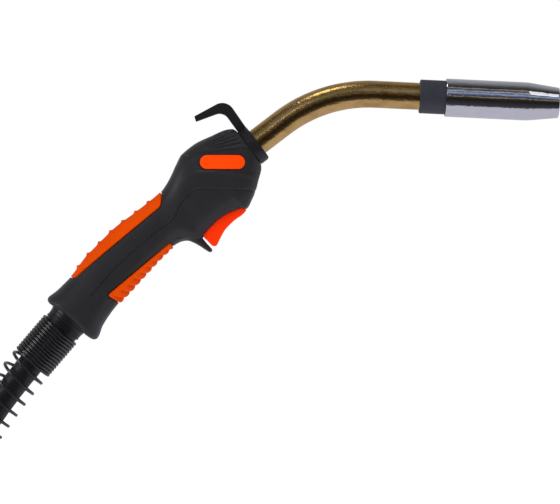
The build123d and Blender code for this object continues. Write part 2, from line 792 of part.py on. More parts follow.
def all_nodes():
    """Every piece of the torch, by node name."""
    nodes = {
        "gas_nozzle": gas_nozzle(),
        "nozzle_insulator": nozzle_insulator(),
        "nozzle_retaining_spring": nozzle_retaining_spring(),
        "tip_holder": tip_holder(),
        "gas_diffuser": gas_diffuser(),
        "contact_tip": contact_tip(),
        "neck_outer_tube": neck_outer_tube(),
        "neck_insulation_sleeve": neck_insulation_sleeve(),
        "neck_inner_conductor": neck_inner_conductor(),
        "neck_base_nut": neck_base_nut(),
        "wire_liner": wire_liner(),
        "hanging_hook": hanging_hook(),
        "handle_screws": handle_screws(),
        "trigger": trigger(),
        "trigger_pin": trigger_pin(),
        "trigger_spring": trigger_spring(),
        "switch_body": switch_body(),
        "switch_plunger": switch_plunger(),
        "switch_terminals": switch_terminals(),
        "control_wires": control_wires(),
        "cable_connector": cable_connector(),
        "crimp_sleeve": crimp_sleeve(),
        "cable_core_in_handle": cable_core_in_handle(),
        "ball_slip_ring": ball_slip_ring(),
        "swivel_ball": swivel_ball(),
        "bend_spring": bend_spring(),
        "cable_jacket": cable_layer(CABLE_RADIUS, STRANDS_RADIUS, 0),
        "cable_copper_strands": cable_layer(STRANDS_RADIUS, HOSE_RADIUS, 1),
        "cable_gas_hose": cable_layer(HOSE_RADIUS, HOSE_BORE_RADIUS, 2),
        "cable_liner": cable_layer(LINER_RADIUS, LINER_BORE_RADIUS, 3),
    }
    nodes.update(handle_pieces())
    return nodes


def main():
    os.makedirs("parts", exist_ok=True)
    for name, solid in all_nodes().items():
        export_step(solid, "parts/" + name + ".step")


main()
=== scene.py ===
import json
from math import acos, atan2, cos, pi, radians, sin, sqrt, tan

import bmesh
import bpy
import numpy as np
from mathutils import Matrix, Vector


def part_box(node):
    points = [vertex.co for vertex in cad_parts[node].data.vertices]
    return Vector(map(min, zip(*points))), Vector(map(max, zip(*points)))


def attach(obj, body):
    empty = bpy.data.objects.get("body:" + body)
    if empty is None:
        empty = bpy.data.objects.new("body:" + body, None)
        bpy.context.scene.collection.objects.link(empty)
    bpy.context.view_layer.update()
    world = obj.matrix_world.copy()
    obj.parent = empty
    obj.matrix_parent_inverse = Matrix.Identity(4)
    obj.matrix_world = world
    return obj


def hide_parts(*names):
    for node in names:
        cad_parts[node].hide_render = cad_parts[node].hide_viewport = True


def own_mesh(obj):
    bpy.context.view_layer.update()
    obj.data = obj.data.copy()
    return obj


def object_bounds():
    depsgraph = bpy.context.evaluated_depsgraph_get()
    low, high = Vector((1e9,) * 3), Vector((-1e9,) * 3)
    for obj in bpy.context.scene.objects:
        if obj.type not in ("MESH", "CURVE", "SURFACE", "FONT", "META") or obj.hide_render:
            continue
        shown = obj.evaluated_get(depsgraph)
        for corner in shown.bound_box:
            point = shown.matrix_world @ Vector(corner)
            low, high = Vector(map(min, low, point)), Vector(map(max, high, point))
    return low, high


# Looks of the MIG welding torch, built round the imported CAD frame. Shapes are worked out in
# millimetres in four work frames (tip, nose, handle and rear), each with +X forward, +Y to the
# torch's left and +Z up, and are then placed in the row frame in metres.

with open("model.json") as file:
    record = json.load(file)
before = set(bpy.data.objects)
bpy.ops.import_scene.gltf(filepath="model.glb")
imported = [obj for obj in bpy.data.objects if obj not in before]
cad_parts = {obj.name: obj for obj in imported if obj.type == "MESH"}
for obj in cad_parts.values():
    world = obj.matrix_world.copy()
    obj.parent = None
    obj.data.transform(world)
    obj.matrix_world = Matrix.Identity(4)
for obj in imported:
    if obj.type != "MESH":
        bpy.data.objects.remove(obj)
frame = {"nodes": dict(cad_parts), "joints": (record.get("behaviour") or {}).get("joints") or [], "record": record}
cad_low, cad_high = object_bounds()

MM = 0.001
FLOOR_DROP = 0.03
SMOOTH_ANGLE = radians(35)
SIDES = ((-1, "right"), (1, "left"))

joints = {joint["name"]: joint for joint in frame["joints"]}
mounts = {mount["name"]: mount for mount in frame["record"]["mounts"]}


# ---- work frames ----


def work_frame(origin, forward):
    """4x4 matrix from a frame's millimetres to the row frame's metres."""
    ahead = Vector(forward).normalized()
    left = Vector((0, 1, 0))
    up = ahead.cross(left)
    turn = Matrix((ahead, left, up)).transposed().to_4x4()
    return Matrix.Translation(Vector(origin)) @ turn @ Matrix.Scale(MM, 4)


def ahead_of(up):
    return Vector((0, 1, 0)).cross(Vector(up))


NOSE_PLACE = joints["hook_turn"]["pos_m"]
BALL_PLACE = joints["cable_pitch"]["pos_m"]
TIP_FRAME = work_frame(mounts["wire_outlet"]["pos_m"], mounts["wire_outlet"]["axis"])
NOSE_FRAME = work_frame(NOSE_PLACE, joints["hook_turn"]["axis"])
HANDLE_FRAME = work_frame(NOSE_PLACE, ahead_of(joints["plunger_press"]["axis"]))
REAR_FRAME = work_frame(BALL_PLACE, ahead_of(joints["cable_yaw"]["axis"]))


def move(points, matrix):
    """Points, an (n, 3) array, carried through a 4x4 matrix."""
    turn = np.array(matrix)
    return np.asarray(points, float) @ turn[:3, :3].T + turn[:3, 3]


# ---- numbers in millimetres ----

# handle, in the handle frame: heights, half width, section power and lean by station
BACK_LINE = [
    (-11.4, 18.2), (-13.0, 20.6), (-26.7, 27.5), (-40.2, 32.1), (-50.0, 32.9), (-59.2, 30.2),
    (-66.1, 27.5), (-73.3, 25.2), (-81.0, 23.9), (-103.6, 25.9), (-126.7, 28.6), (-151.1, 28.3),
    (-173.2, 25.4), (-183.0, 25.3), (-194.8, 26.8),
]
BELLY_LINE = [
    (-11.4, -13.0), (-14.1, -16.0), (-21.0, -20.1), (-29.9, -25.0), (-37.9, -27.9), (-41.8, -29.2),
    (-44.0, -29.4), (-47.2, -26.8), (-51.3, -24.9), (-59.0, -22.2), (-66.3, -21.3), (-73.8, -21.5),
    (-79.1, -22.1), (-84.0, -23.3), (-87.0, -21.8), (-90.0, -17.8), (-93.3, -14.4), (-97.0, -12.4),
    (-102.0, -11.3), (-113.0, -10.9), (-131.4, -11.7), (-147.8, -12.7), (-160.4, -13.2),
    (-181.2, -16.7), (-190.0, -20.3), (-195.8, -21.5),
]
HALF_WIDTH_LINE = [
    (-11.4, 15.6), (-25.0, 18.8), (-38.0, 20.6), (-52.0, 20.8), (-66.0, 19.8), (-82.0, 18.0),
    (-100.0, 16.9), (-126.0, 16.8), (-152.0, 17.2), (-174.0, 19.0), (-189.0, 20.6), (-195.8, 20.4),
]
FULLNESS_LINE = [(-11.4, 2.1), (-30.0, 2.6), (-55.0, 2.9), (-80.0, 2.5), (-110.0, 2.3), (-196.0, 2.3)]
LEAN_LINE = [(-11.4, 0.123), (-45.0, 0.0), (-160.0, 0.0), (-195.0, -0.091)]
NOSE_STATION = -11.4
REAR_STATION = -195.2
NOSE_ROUNDING = 1.2
REAR_ROUNDING = 3.8
REAR_SCALLOP = 2.2
WALL = 3.4
CAVITY_FRONT = -24
CAVITY_REAR = -172

# creases on the head and flank, in the handle frame's side view
THUMB_CREASE = [(-49.3, 30.5), (-37.2, 22.6), (-21.3, 11.5), (-7.0, 0.0)]
BADGE_CREASE = [(-72.8, 27.6), (-56.8, 17.6), (-50.7, 14.3), (-41.1, 6.0), (-33.4, -4.1), (-20.0, -19.0)]
FLANK_CREASE = [
    (-176.0, 4.4), (-144.5, 7.4), (-119.9, 6.6), (-103.4, 5.4), (-90.6, 3.1), (-85.3, 3.8),
    (-77.8, 7.2), (-67.3, 8.2), (-60.5, 6.6), (-48.0, -5.4), (-34.0, -19.5), (-26.0, -28.0),
]
PANEL_DEPTH = 1.15
LIP_HEIGHT = 0.6
FLANK_DEPTH = 0.95
UNDERCUT_DEPTH = 0.55

# fine ribs fanning out over the head, between two bearings in degrees from the fan's root
THUMB_FAN_ROOT = (-50.5, 31.0)
THUMB_FAN_LOW = -36.5
THUMB_FAN_HIGH = -9.5
THUMB_RIB_STEP = 4.3
THUMB_RIB_HEIGHT = 0.95

BADGE_CENTRE = (-32.8, 7.3)
BADGE_LEAN = radians(-44.3)
BADGE_LENGTH = 33.0
BADGE_HEIGHT = 10.4
BADGE_SINK = 0.7
BADGE_THICK = 1.15
BADGE_RIM = 0.5
SEAM_GAP = 0.05

# finger guard, in the handle frame: stations, and half widths, by height
GUARD_FRONT = [(-34.0, -83.1), (-28.0, -83.0), (-23.6, -82.7), (-6.0, -82.6)]
GUARD_REAR = [
    (-34.0, -86.1), (-32.5, -86.4), (-30.4, -86.9), (-24.4, -88.2), (-17.8, -90.5), (-13.8, -93.2),
    (-10.6, -99.0), (-6.0, -106.0),
]
GUARD_HALF_WIDTH = [(-34.0, 5.8), (-33.0, 7.0), (-24.0, 8.8), (-18.0, 10.2), (-12.0, 11.0), (-6.0, 11.2)]
GUARD_ROOT = -6
GUARD_TIP = -32
GUARD_TIP_ROUNDING = 1.95

# grip pads, as convex side outlines open towards the seam; the sign is up or down from the edge
UPPER_PAD = {"sign": 1, "edge": ((-171.0, 22.4), (-87.2, 15.6)), "seam": (-174.5, -80.8)}
LOWER_PAD = {"sign": -1, "edge": ((-162.0, -3.6), (-101.0, -8.4)), "seam": (-160.6, -103.5)}
PAD_DEPTH = 1.4
PAD_STAND = 0.35
PAD_GAP = 0.65
PAD_RIM = 0.75
PAD_CORNER = 1.6
PAD_END_RUN = 7.0
UPPER_RIB_PITCH = 11.7
UPPER_RIB_FIRST = -163.0
UPPER_RIB_COUNT = 7
LOWER_RIB_PITCH = 6.1

# opening for the trigger, and the passage to the ball socket, in the handle frame
TRIGGER_SLOT = ((-82.55, -7.4, -45), (-44.35, 7.4, -12))
PASSAGE_RADIUS = 6.5
PASSAGE_HEIGHT = 4.4

# trigger and its coil spring, in the handle frame: face, back with fillets, and sizes
TRIGGER_FACE = [
    (-46.4, -30.1), (-49.5, -30.15), (-54.0, -29.4), (-58.3, -28.95), (-62.5, -28.95), (-66.4, -29.3),
    (-70.0, -30.2), (-73.6, -31.35), (-77.0, -32.6),
]
TRIGGER_BACK = [
    (-77.0, -32.6, 0), (-81.2, -34.1, 2.4), (-81.3, -20.6, 2.4), (-74.0, -18.4, 3.0),
    (-50.0, -20.4, 3.0), (-44.6, -22.5, 2.4), (-44.5, -30.0, 1.5), (-46.4, -30.1, 0),
]
TRIGGER_HALF_WIDTH = 6.8
TRIGGER_PIN_PLACE = (-47.8, -24.0)
TRIGGER_PIN_RADIUS = 1.56
TRIGGER_POCKET_RADIUS = 3.6
SWITCH_NUB_PLACE = (-58.0, -18.1)
SWITCH_NUB_RADIUS = 1.6
COIL_PLACE = -75.8
COIL_RADIUS = 2.3
COIL_WIRE = 0.35
COIL_TURNS = 5
COIL_FOOT = -26.3
COIL_TOP = -15.1

# nozzle and neck, in the tip frame
NOZZLE_TAPER_LENGTH = 24.0
NOZZLE_SHOULDER = [(-3, 0), (0, 0.05), (4, 0.42), (9, 1.02), (23.5, 2.88)]
NOZZLE_BORE = 11.95
NECK_BEND_START = -133.0
NECK_BEND_RADIUS = 105.0
NECK_RADIUS = 10.0
NECK_WALL = 1.0
NECK_TAIL = 30

# hook ring, hook arm with fillets, and spigot, in the nose frame
RING_REAR = -11.3
RING_FRONT = -3.8
RING_RADIUS = 14.8
RING_BORE = 12.02
HOOK_ARM = [
    (-10.9, 12.9, 0), (-10.4, 33.2, 7.5), (-30.9, 39.5, 0.5), (-29.5, 43.3, 0.5), (-2.9, 39.2, 9.5),
    (-4.1, 12.9, 0),
]
HOOK_HALF_WIDTH = 4.2
SPIGOT_RADIUS = 11.95
LIP_RADIUS = 12.5

# rear end, in the rear frame, and the ball's height in the handle frame
BALL_HEIGHT = 4.5
BALL_RADIUS = 16.4
BALL_ARC = (55, 110)
SOCKET_RADIUS = 17.57
SOCKET_ARC = (3, 106.5)
SOCKET_MOUTH = [(2.4, 0.2), (6.0, 2.6), (30.0, 10.0)]
COLLAR_RADIUS = 14.9
COLLAR_END = -13.3
CARRIER_RADIUS = 13.7
CARRIER_END = -43.0
CABLE_RADIUS = 9.6
JACKET_BORE = 8.02
STRAND_COUNT = 24
STRAND_RADIUS = 0.86
STRAND_LAY_RADIUS = 7.08
STRAND_LAY_LENGTH = 120
STRAIGHT_CABLE = 46.0
CABLE_BEND_LENGTH = 72.0
CABLE_END = 146.0
SPRING_WIRE = 1.2
SPRING_START = 15.1
# close coils, then open ones
SPRING_TURNS = (13, 6)
SPRING_RADII = (15.05, 15.0)
SPRING_PITCHES = (2.5, 10.3)

# screws through the left shell, in the handle frame's side view
BOSS_RADIUS = 4.4
SCREW_HOLE_RADIUS = 2.9
SCREW_HOLE_FLOOR = 6.1
SCREW_PLACES = [(-30.0, -18.0), (-50.0, 24.0), (-98.0, 13.8), (-150.0, 16.5), (-168.5, -8.5)]


# ---- curves and outlines ----


def smooth_line(points):
    """Monotone cubic through (station, value) points, as a function of station."""
    ordered = sorted(points)
    xs = np.array([x for x, _ in ordered])
    ys = np.array([y for _, y in ordered])
    steps = np.diff(xs)
    slopes = np.diff(ys) / steps
    tangents = np.zeros(len(xs))
    tangents[0], tangents[-1] = slopes[0], slopes[-1]
    for i in range(1, len(xs) - 1):
        if slopes[i - 1] * slopes[i] > 0:
            before, after = steps[i - 1] + 2 * steps[i], 2 * steps[i - 1] + steps[i]
            tangents[i] = (before + after) / (before / slopes[i - 1] + after / slopes[i])

    def value(x):
        x = np.clip(np.asarray(x, float), xs[0], xs[-1])
        i = np.clip(np.searchsorted(xs, x) - 1, 0, len(steps) - 1)
        t = (x - xs[i]) / steps[i]
        start = (1 + 2 * t) * (1 - t) ** 2 * ys[i] + t * (1 - t) ** 2 * steps[i] * tangents[i]
        end = t * t * (3 - 2 * t) * ys[i + 1] + t * t * (t - 1) * steps[i] * tangents[i + 1]
        return start + end

    return value


def smoothstep(low, high, value):
    t = np.clip((value - low) / (high - low), 0, 1)
    return t * t * (3 - 2 * t)


def unit(vectors):
    return vectors / np.linalg.norm(vectors, axis=-1, keepdims=True)


def rim_drop(radius, inside):
    """How far a rounded rim lies under its face, at a distance in from the edge."""
    short = np.clip(radius - inside, 0, radius)
    return radius - np.sqrt(radius**2 - short**2)


def side_distance(line, x, z):
    """Distance from points to a polyline, positive below it (it runs from the rear or top forwards)."""
    best = np.full(np.shape(x), 1e9)
    signed = np.zeros(np.shape(x))
    for (ax, az), (bx, bz) in zip(line, line[1:]):
        dx, dz = bx - ax, bz - az
        t = np.clip(((x - ax) * dx + (z - az) * dz) / (dx * dx + dz * dz), 0, 1)
        away = np.hypot(x - ax - t * dx, z - az - t * dz)
        side = np.sign((x - ax) * dz - (z - az) * dx)
        nearer = away < best
        best = np.where(nearer, away, best)
        signed = np.where(nearer, away * side, signed)
    return signed


def filleted(corners, steps=6):
    """Closed outline from (x, y, fillet radius) corners, with each corner rounded by an arc."""
    outline = []
    count = len(corners)
    for i, (x, y, radius) in enumerate(corners):
        here = Vector((x, y))
        before = (Vector(corners[i - 1][:2]) - here).normalized()
        after = (Vector(corners[(i + 1) % count][:2]) - here).normalized()
        if radius <= 0:
            outline.append((x, y))
            continue
        half_turn = acos(max(-1.0, min(1.0, before.dot(after)))) / 2
        reach = radius / tan(half_turn)
        middle = here + (before + after).normalized() * (radius / sin(half_turn))
        ends = (here + before * reach, here + after * reach)
        first, last = (atan2(end.y - middle.y, end.x - middle.x) for end in ends)
        turn = (last - first + pi) % (2 * pi) - pi
        for step in range(steps + 1):
            angle = first + turn * step / steps
            outline.append((middle.x + radius * cos(angle), middle.y + radius * sin(angle)))
    return outline


# ---- meshes ----


def ring_faces(rings, count, looped=False):
    """Quads between stacked rings of count points each."""
    faces = []
    for ring in range(rings if looped else rings - 1):
        start, following = ring * count, (ring + 1) % rings * count
        for i in range(count):
            j = (i + 1) % count
            faces.append((start + i, start + j, following + j, following + i))
    return faces


def capped_rings(rings, count):
    """Faces of a closed skin: stacked rings with a flat cap on the first and last."""
    faces = ring_faces(rings, count)
    faces.append(tuple(range(count))[::-1])
    faces.append(tuple(range((rings - 1) * count, rings * count)))
    return faces


def slab_faces(rows, columns):
    """Closed slab: an outer sheet of points, then an inner one, and the walls between."""
    size = rows * columns
    grid = np.arange(size).reshape(rows, columns)
    corners = (grid[:-1, :-1], grid[:-1, 1:], grid[1:, 1:], grid[1:, :-1])
    outer = np.stack([corner.ravel() for corner in corners], axis=1).tolist()
    inner = [[i + size for i in face[::-1]] for face in outer]
    rim = np.concatenate([grid[0], grid[1:, -1], grid[-1, -2::-1], grid[-2:0:-1, 0]]).tolist()
    walls = [[b, a, a + size, b + size] for a, b in zip(rim, rim[1:] + rim[:1])]
    return outer + inner + walls


def add_object(name, data):
    thing = bpy.data.objects.new(name, data)
    bpy.context.scene.collection.objects.link(thing)
    return thing


def plain_mesh(name, points, faces):
    """Mesh object with its normals facing outwards."""
    mesh = bpy.data.meshes.new(name)
    mesh.from_pydata([tuple(p) for p in points], [], faces)
    shape = bmesh.new()
    shape.from_mesh(mesh)
    bmesh.ops.recalc_face_normals(shape, faces=shape.faces)
    shape.to_mesh(mesh)
    shape.free()
    return add_object(name, mesh)


def tidy_mesh(thing):
    """Consistent outward normals and smooth shading with sharp edges kept."""
    bpy.context.view_layer.objects.active = thing
    bpy.ops.object.select_all(action="DESELECT")
    thing.select_set(True)
    bpy.ops.object.mode_set(mode="EDIT")
    bpy.ops.mesh.select_all(action="SELECT")
    bpy.ops.mesh.remove_doubles(threshold=1e-7)
    bpy.ops.mesh.normals_make_consistent(inside=False)
    bpy.ops.object.mode_set(mode="OBJECT")
    thing.data.polygons.foreach_set("use_smooth", [True] * len(thing.data.polygons))
    thing.data.set_sharp_from_angle(angle=SMOOTH_ANGLE)


def combine(target, other, operation):
    """Boolean of two closed meshes: the first is changed, the second is used up."""
    modifier = target.modifiers.new("cut", "BOOLEAN")
    modifier.operation = operation
    modifier.solver = "EXACT"
    modifier.object = other
    graph = bpy.context.evaluated_depsgraph_get()
    result = bpy.data.meshes.new_from_object(target.evaluated_get(graph))
    target.modifiers.clear()
    old, target.data = target.data, result
    bpy.data.meshes.remove(old)
    bpy.data.objects.remove(other)


def join(target, other):
    combine(target, other, "UNION")


def cut(target, other):
    combine(target, other, "DIFFERENCE")


def finish_piece(thing, body, slot, node):
    """Shades a piece, paints it by its slot, ties it to its body and hides the CAD node it stands for."""
    tidy_mesh(thing)
    thing.data.materials.clear()
    thing.data.materials.append(PAINT[slot])
    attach(thing, body)
    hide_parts(node)


def turned(name, profile, matrix, segments=128, faces=None):
    """Solid turned about X from an (x, radius) outline: a closed outline makes a ring."""
    points = []
    for x, radius in profile:
        for step in range(segments):
            angle = 2 * pi * step / segments
            points.append((x, radius * cos(angle), radius * sin(angle)))
    faces = faces or ring_faces(len(profile), segments, looped=True)
    return plain_mesh(name, move(points, matrix), faces)


def plug(name, profile, matrix, segments=96):
    """The same from an open outline, with a flat cap at each end."""
    return turned(name, profile, matrix, segments, capped_rings(len(profile), segments))


def ball_arc(radius, start, end, steps):
    """Points (x, radius) along a ball's outline between two angles from its front, in degrees."""
    angles = [radians(start + (end - start) * step / steps) for step in range(steps + 1)]
    return [(radius * cos(angle), radius * sin(angle)) for angle in angles]


def block(name, low, high, matrix):
    """Box between two corners, for cutting."""
    xs, ys, zs = zip(low, high)
    points = [(x, y, z) for x in xs for y in ys for z in zs]
    faces = [(0, 1, 3, 2), (4, 6, 7, 5), (0, 4, 5, 1), (2, 3, 7, 6), (0, 2, 6, 4), (1, 5, 7, 3)]
    return plain_mesh(name, move(points, matrix), faces)


def plate(name, outline, half_width, edge, matrix):
    """Side outline of (x, z) points given a width along Y, with both rims rounded."""
    flat = np.array(outline)
    following = np.roll(flat, -1, axis=0)
    along = unit(following - np.roll(flat, 1, axis=0))
    inward = np.stack([-along[:, 1], along[:, 0]], axis=1)
    area = np.sum(flat[:, 0] * following[:, 1] - following[:, 0] * flat[:, 1])
    if area < 0:
        inward = -inward
    steps = 5
    rings = []
    for side in (-1, 1):
        for turn in range(steps + 1)[:: -side]:
            angle = pi / 2 * turn / steps
            inset = edge * (1 - sin(angle))
            y = side * (half_width - edge * (1 - cos(angle)))
            ring = flat + inward * inset
            rings.append(np.column_stack([ring[:, 0], np.full(len(flat), y), ring[:, 1]]))
    points = np.concatenate(rings)
    return plain_mesh(name, move(points, matrix), capped_rings(len(rings), len(flat)))


def tube(name, path, radius, matrix, segments=16):
    """Round rod along a path of points in millimetres, closed at both ends."""
    path = np.asarray(path, float)
    along = unit(np.gradient(path, axis=0))
    radius = np.broadcast_to(radius, len(path))
    side = unit(np.cross(along[0], (0.3, 1.0, 0.2)))
    points = []
    for place, direction, size in zip(path, along, radius):
        side = unit(side - direction * side.dot(direction))
        other = np.cross(direction, side)
        for step in range(segments):
            angle = 2 * pi * step / segments
            points.append(place + size * (side * cos(angle) + other * sin(angle)))
    return plain_mesh(name, move(points, matrix), capped_rings(len(path), segments))


# ---- node materials ----


class Nodes:
    """Short-hand for building a node tree."""

    def __init__(self, tree):
        self.tree = tree

    def fill(self, node, **inputs):
        for name, value in inputs.items():
            self.feed(value, node.inputs[name.replace("_", " ")])
        return node

    def node(self, kind, **inputs):
        return self.fill(self.tree.nodes.new(kind), **inputs)

    def feed(self, value, socket):
        if isinstance(value, bpy.types.NodeSocket):
            self.tree.links.new(value, socket)
        elif socket.type == "RGBA":
            socket.default_value = (*value, 1)
        else:
            socket.default_value = value

    def feed_all(self, node, *values):
        for value, socket in zip(values, node.inputs):
            self.feed(value, socket)
        return node.outputs[0]

    def math(self, operation, *values):
        made = self.node("ShaderNodeMath")
        made.operation = operation
        return self.feed_all(made, *values)

    def ramp(self, value, stops):
        """Colour ramp from (position, colour or grey) stops."""
        made = self.node("ShaderNodeValToRGB", Fac=value)
        elements = made.color_ramp.elements
        while len(elements) < len(stops):
            elements.new(0.5)
        for element, (position, colour) in zip(elements, stops):
            element.position = position
            element.color = (*np.broadcast_to(colour, 3), 1)
        return made.outputs["Color"]

    def mix(self, share, first, second):
        """Two shaders mixed."""
        return self.feed_all(self.node("ShaderNodeMixShader"), share, first, second)

    def blend(self, share, first, second):
        """Two colours mixed."""
        made = self.node("ShaderNodeMix")
        made.data_type = "RGBA"
        for value, index in ((share, 0), (first, 6), (second, 7)):
            self.feed(value, made.inputs[index])
        return made.outputs[2]


class Paint(Nodes):
    """One node material under construction, in object coordinates."""

    def __init__(self):
        self.material = bpy.data.materials.new("paint")
        self.material.use_nodes = True
        super().__init__(self.material.node_tree)
        self.shader = self.tree.nodes["Principled BSDF"]
        self.place = self.node("ShaderNodeTexCoord").outputs["Object"]

    def set(self, **inputs):
        self.fill(self.shader, **inputs)

    def noise(self, scale, detail=3.0, rough=0.5, stretch=None, distortion=0.0):
        """Noise output; scale is in features per metre."""
        place = self.place
        if stretch:
            mapping = self.node("ShaderNodeMapping", Vector=place, Scale=stretch)
            place = mapping.outputs["Vector"]
        made = self.node("ShaderNodeTexNoise", Vector=place, Scale=scale, Detail=detail, Roughness=rough)
        self.feed(distortion, made.inputs["Distortion"])
        return made.outputs["Fac"]

    def bump(self, height, distance, strength=1.0, after=None):
        made = self.node("ShaderNodeBump", Height=height, Distance=distance, Strength=strength)
        if after:
            self.feed(after, made.inputs["Normal"])
        return made.outputs["Normal"]

    def edges(self, low, high):
        """Grey that rises on convex edges."""
        geometry = self.node("ShaderNodeNewGeometry")
        return self.ramp(geometry.outputs["Pointiness"], [(low, 0), (high, 1)])


def moulded(colour, rough, grain=2600, grain_depth=2.5e-5, worn=None, patch=0.12, sheen=0.35):
    """Moulded plastic or rubber: fine grain, uneven sheen, painted shade in concave places and, if worn, pale
    edges.
    """
    paint = Paint()
    cloud = paint.noise(60, 4, 0.6)
    darker = tuple(c * (1 - patch) for c in colour)
    shade = paint.blend(paint.ramp(cloud, [(0.35, 0), (0.65, 1)]), darker, colour)
    if worn:
        scuffs = paint.noise(900, 5, 0.7)
        mask = paint.ramp(scuffs, [(0.4, 0), (0.7, 0.55)])
        mask = paint.math("MULTIPLY", paint.edges(0.515, 0.56), mask)
        shade = paint.blend(mask, shade, worn)
    # painted shade: concave places (low pointiness) get a darker colour and less gloss
    painted_hollow_shade = paint.edges(0.40, 0.485)
    shade = paint.blend(painted_hollow_shade, tuple(c * 0.35 for c in colour), shade)
    gloss = paint.math("MULTIPLY", painted_hollow_shade, sheen)
    fine = paint.noise(grain, 2, 0.5)
    medium = paint.noise(grain / 4, 3, 0.6)
    spread = paint.ramp(medium, [(0.3, rough - 0.07), (0.7, rough + 0.08)])
    normal = paint.bump(fine, grain_depth, 0.8)
    normal = paint.bump(medium, grain_depth * 1.5, 0.5, after=normal)
    paint.set(Base_Color=shade, Roughness=spread, Specular_IOR_Level=gloss, Normal=normal)
    return paint.material


def metal(colour, rough, streak=(1, 1, 1), tint=None, mottled=0.0):
    """Metal with machining streaks, uneven polish and, where asked, a second tint and soft dents."""
    paint = Paint()
    streaks = paint.noise(1800, 3, 0.6, stretch=streak)
    cloud = paint.noise(70, 5, 0.65, distortion=0.4)
    if tint:
        colour = paint.blend(paint.ramp(cloud, [(0.42, 0), (0.62, 1)]), colour, tint)
    spread = paint.ramp(cloud, [(0.3, max(rough - 0.03, 0.0)), (0.7, rough + 0.03)])
    spread = paint.math("ADD", paint.ramp(streaks, [(0.3, 0), (0.7, 0.05)]), spread)
    normal = paint.bump(paint.noise(900, 2, 0.5, stretch=streak), 1e-5, 0.6)
    if mottled:
        waves = paint.noise(330, 1, 0.5, stretch=(0.5, 1, 1), distortion=0.6)
        normal = paint.bump(waves, mottled, 1.0, after=normal)
    paint.set(Base_Color=colour, Metallic=1.0, Roughness=spread, Normal=normal)
    return paint.material


def make_materials():
    """Every material, by the record's slot name."""
    made = {
        "nozzle_chrome": metal(
            (0.86, 0.87, 0.90), 0.05, streak=(0.08, 1, 1), tint=(0.80, 0.82, 0.88), mottled=9e-5
        ),
        "slate_insulator": moulded((0.026, 0.028, 0.041), 0.5, grain=1800),
        "spring_steel": metal((0.55, 0.55, 0.56), 0.25),
        "brass": metal((0.78, 0.56, 0.24), 0.22, streak=(0.1, 1, 1)),
        "tip_copper": metal((0.85, 0.45, 0.28), 0.24, streak=(0.1, 1, 1), tint=(0.62, 0.33, 0.22)),
        "white_insulator": moulded((0.72, 0.69, 0.62), 0.55),
        "neck_brass": metal(
            (0.82, 0.53, 0.20), 0.22, streak=(0.2, 1, 0.2), tint=(0.60, 0.39, 0.13), mottled=1.8e-4
        ),
        "copper": metal((0.80, 0.40, 0.24), 0.3),
        "liner_steel": metal((0.42, 0.42, 0.44), 0.3),
        "sleeve_plastic": moulded((0.62, 0.58, 0.46), 0.5),
        "hook_plastic": moulded((0.010, 0.010, 0.012), 0.36, 2200, 2e-5, worn=(0.05, 0.05, 0.055)),
        "handle_plastic": moulded(
            (0.0175, 0.0165, 0.0195), 0.40, 2400, 3e-5, worn=(0.04, 0.04, 0.045), sheen=0.36
        ),
        "grip_orange": moulded((0.64, 0.058, 0.0006), 0.6, 2000, 3e-5, patch=0.08, sheen=0.02),
        "badge_orange": moulded((0.86, 0.055, 0.001), 0.36, 1500, 1e-5, patch=0.04, sheen=0.05),
        "trigger_orange": moulded((0.88, 0.029, 0.0005), 0.34, 2600, 1e-5, patch=0.05, sheen=0.05),
        "screw_steel": metal((0.38, 0.38, 0.40), 0.3),
        "switch_plastic": moulded((0.03, 0.03, 0.03), 0.4),
        "wire_insulation": moulded((0.35, 0.02, 0.02), 0.4),
        "slip_plastic": moulded((0.45, 0.45, 0.43), 0.4),
        "collar_plastic": moulded((0.007, 0.007, 0.008), 0.34, 1600, 2e-5, sheen=0.5),
        "spring_black": moulded((0.006, 0.006, 0.0065), 0.16, 1200, 2e-6, patch=0.3, sheen=1.0),
        "cable_rubber": moulded((0.008, 0.008, 0.009), 0.42, 1400, 4e-5, sheen=0.5),
        "hose_plastic": moulded((0.45, 0.46, 0.48), 0.45),
    }
    for slot, material in made.items():
        material.name = slot
    return made


PAINT = make_materials()


def paint_cad_nodes():
    """The CAD nodes that stay in view, or inside, take the same node materials."""
    slots = {row["node"]: row["material_slot"] for row in frame["record"]["subparts"]}
    for name, thing in frame["nodes"].items():
        thing.data.materials.clear()
        thing.data.materials.append(PAINT[slots[name]])


# ---- handle surface ----

back_line = smooth_line(BACK_LINE)
belly_line = smooth_line(BELLY_LINE)
half_width_line = smooth_line(HALF_WIDTH_LINE)
fullness_line = smooth_line(FULLNESS_LINE)
lean_line = smooth_line(LEAN_LINE)


def end_inset(station):
    """How far the section draws in as it rounds over at the nose and at the rear."""
    inset = np.zeros(np.shape(station))
    for end, direction, radius in ((NOSE_STATION, -1, NOSE_ROUNDING), (REAR_STATION, 1, REAR_ROUNDING)):
        inset = inset + rim_drop(radius, (station - end) * direction)
    return inset


def handle_point(station, angle, inset=0.0):
    """Bare handle surface: angle 0 is +Y, 90 degrees is the back; returns x, y, z arrays."""
    drawn_in = end_inset(station) + inset
    back, belly = back_line(station), belly_line(station)
    middle = (back + belly) / 2
    height = (back - belly) / 2 - drawn_in
    width = half_width_line(station) - drawn_in
    power = fullness_line(station)
    c, s = np.cos(angle), np.sin(angle)
    reach = (np.abs(c / width) ** power + np.abs(s / height) ** power) ** (-1 / power)
    z = middle + reach * s
    hinge = np.where(station > -100, 0.0, BALL_HEIGHT)
    x = station + lean_line(station) * (z - hinge)
    bow = np.clip(1 - ((z - BALL_HEIGHT) / 17.0) ** 2, 0, 1)
    x = x + REAR_SCALLOP * bow * smoothstep(-184, REAR_STATION, station)
    return x, reach * c, z


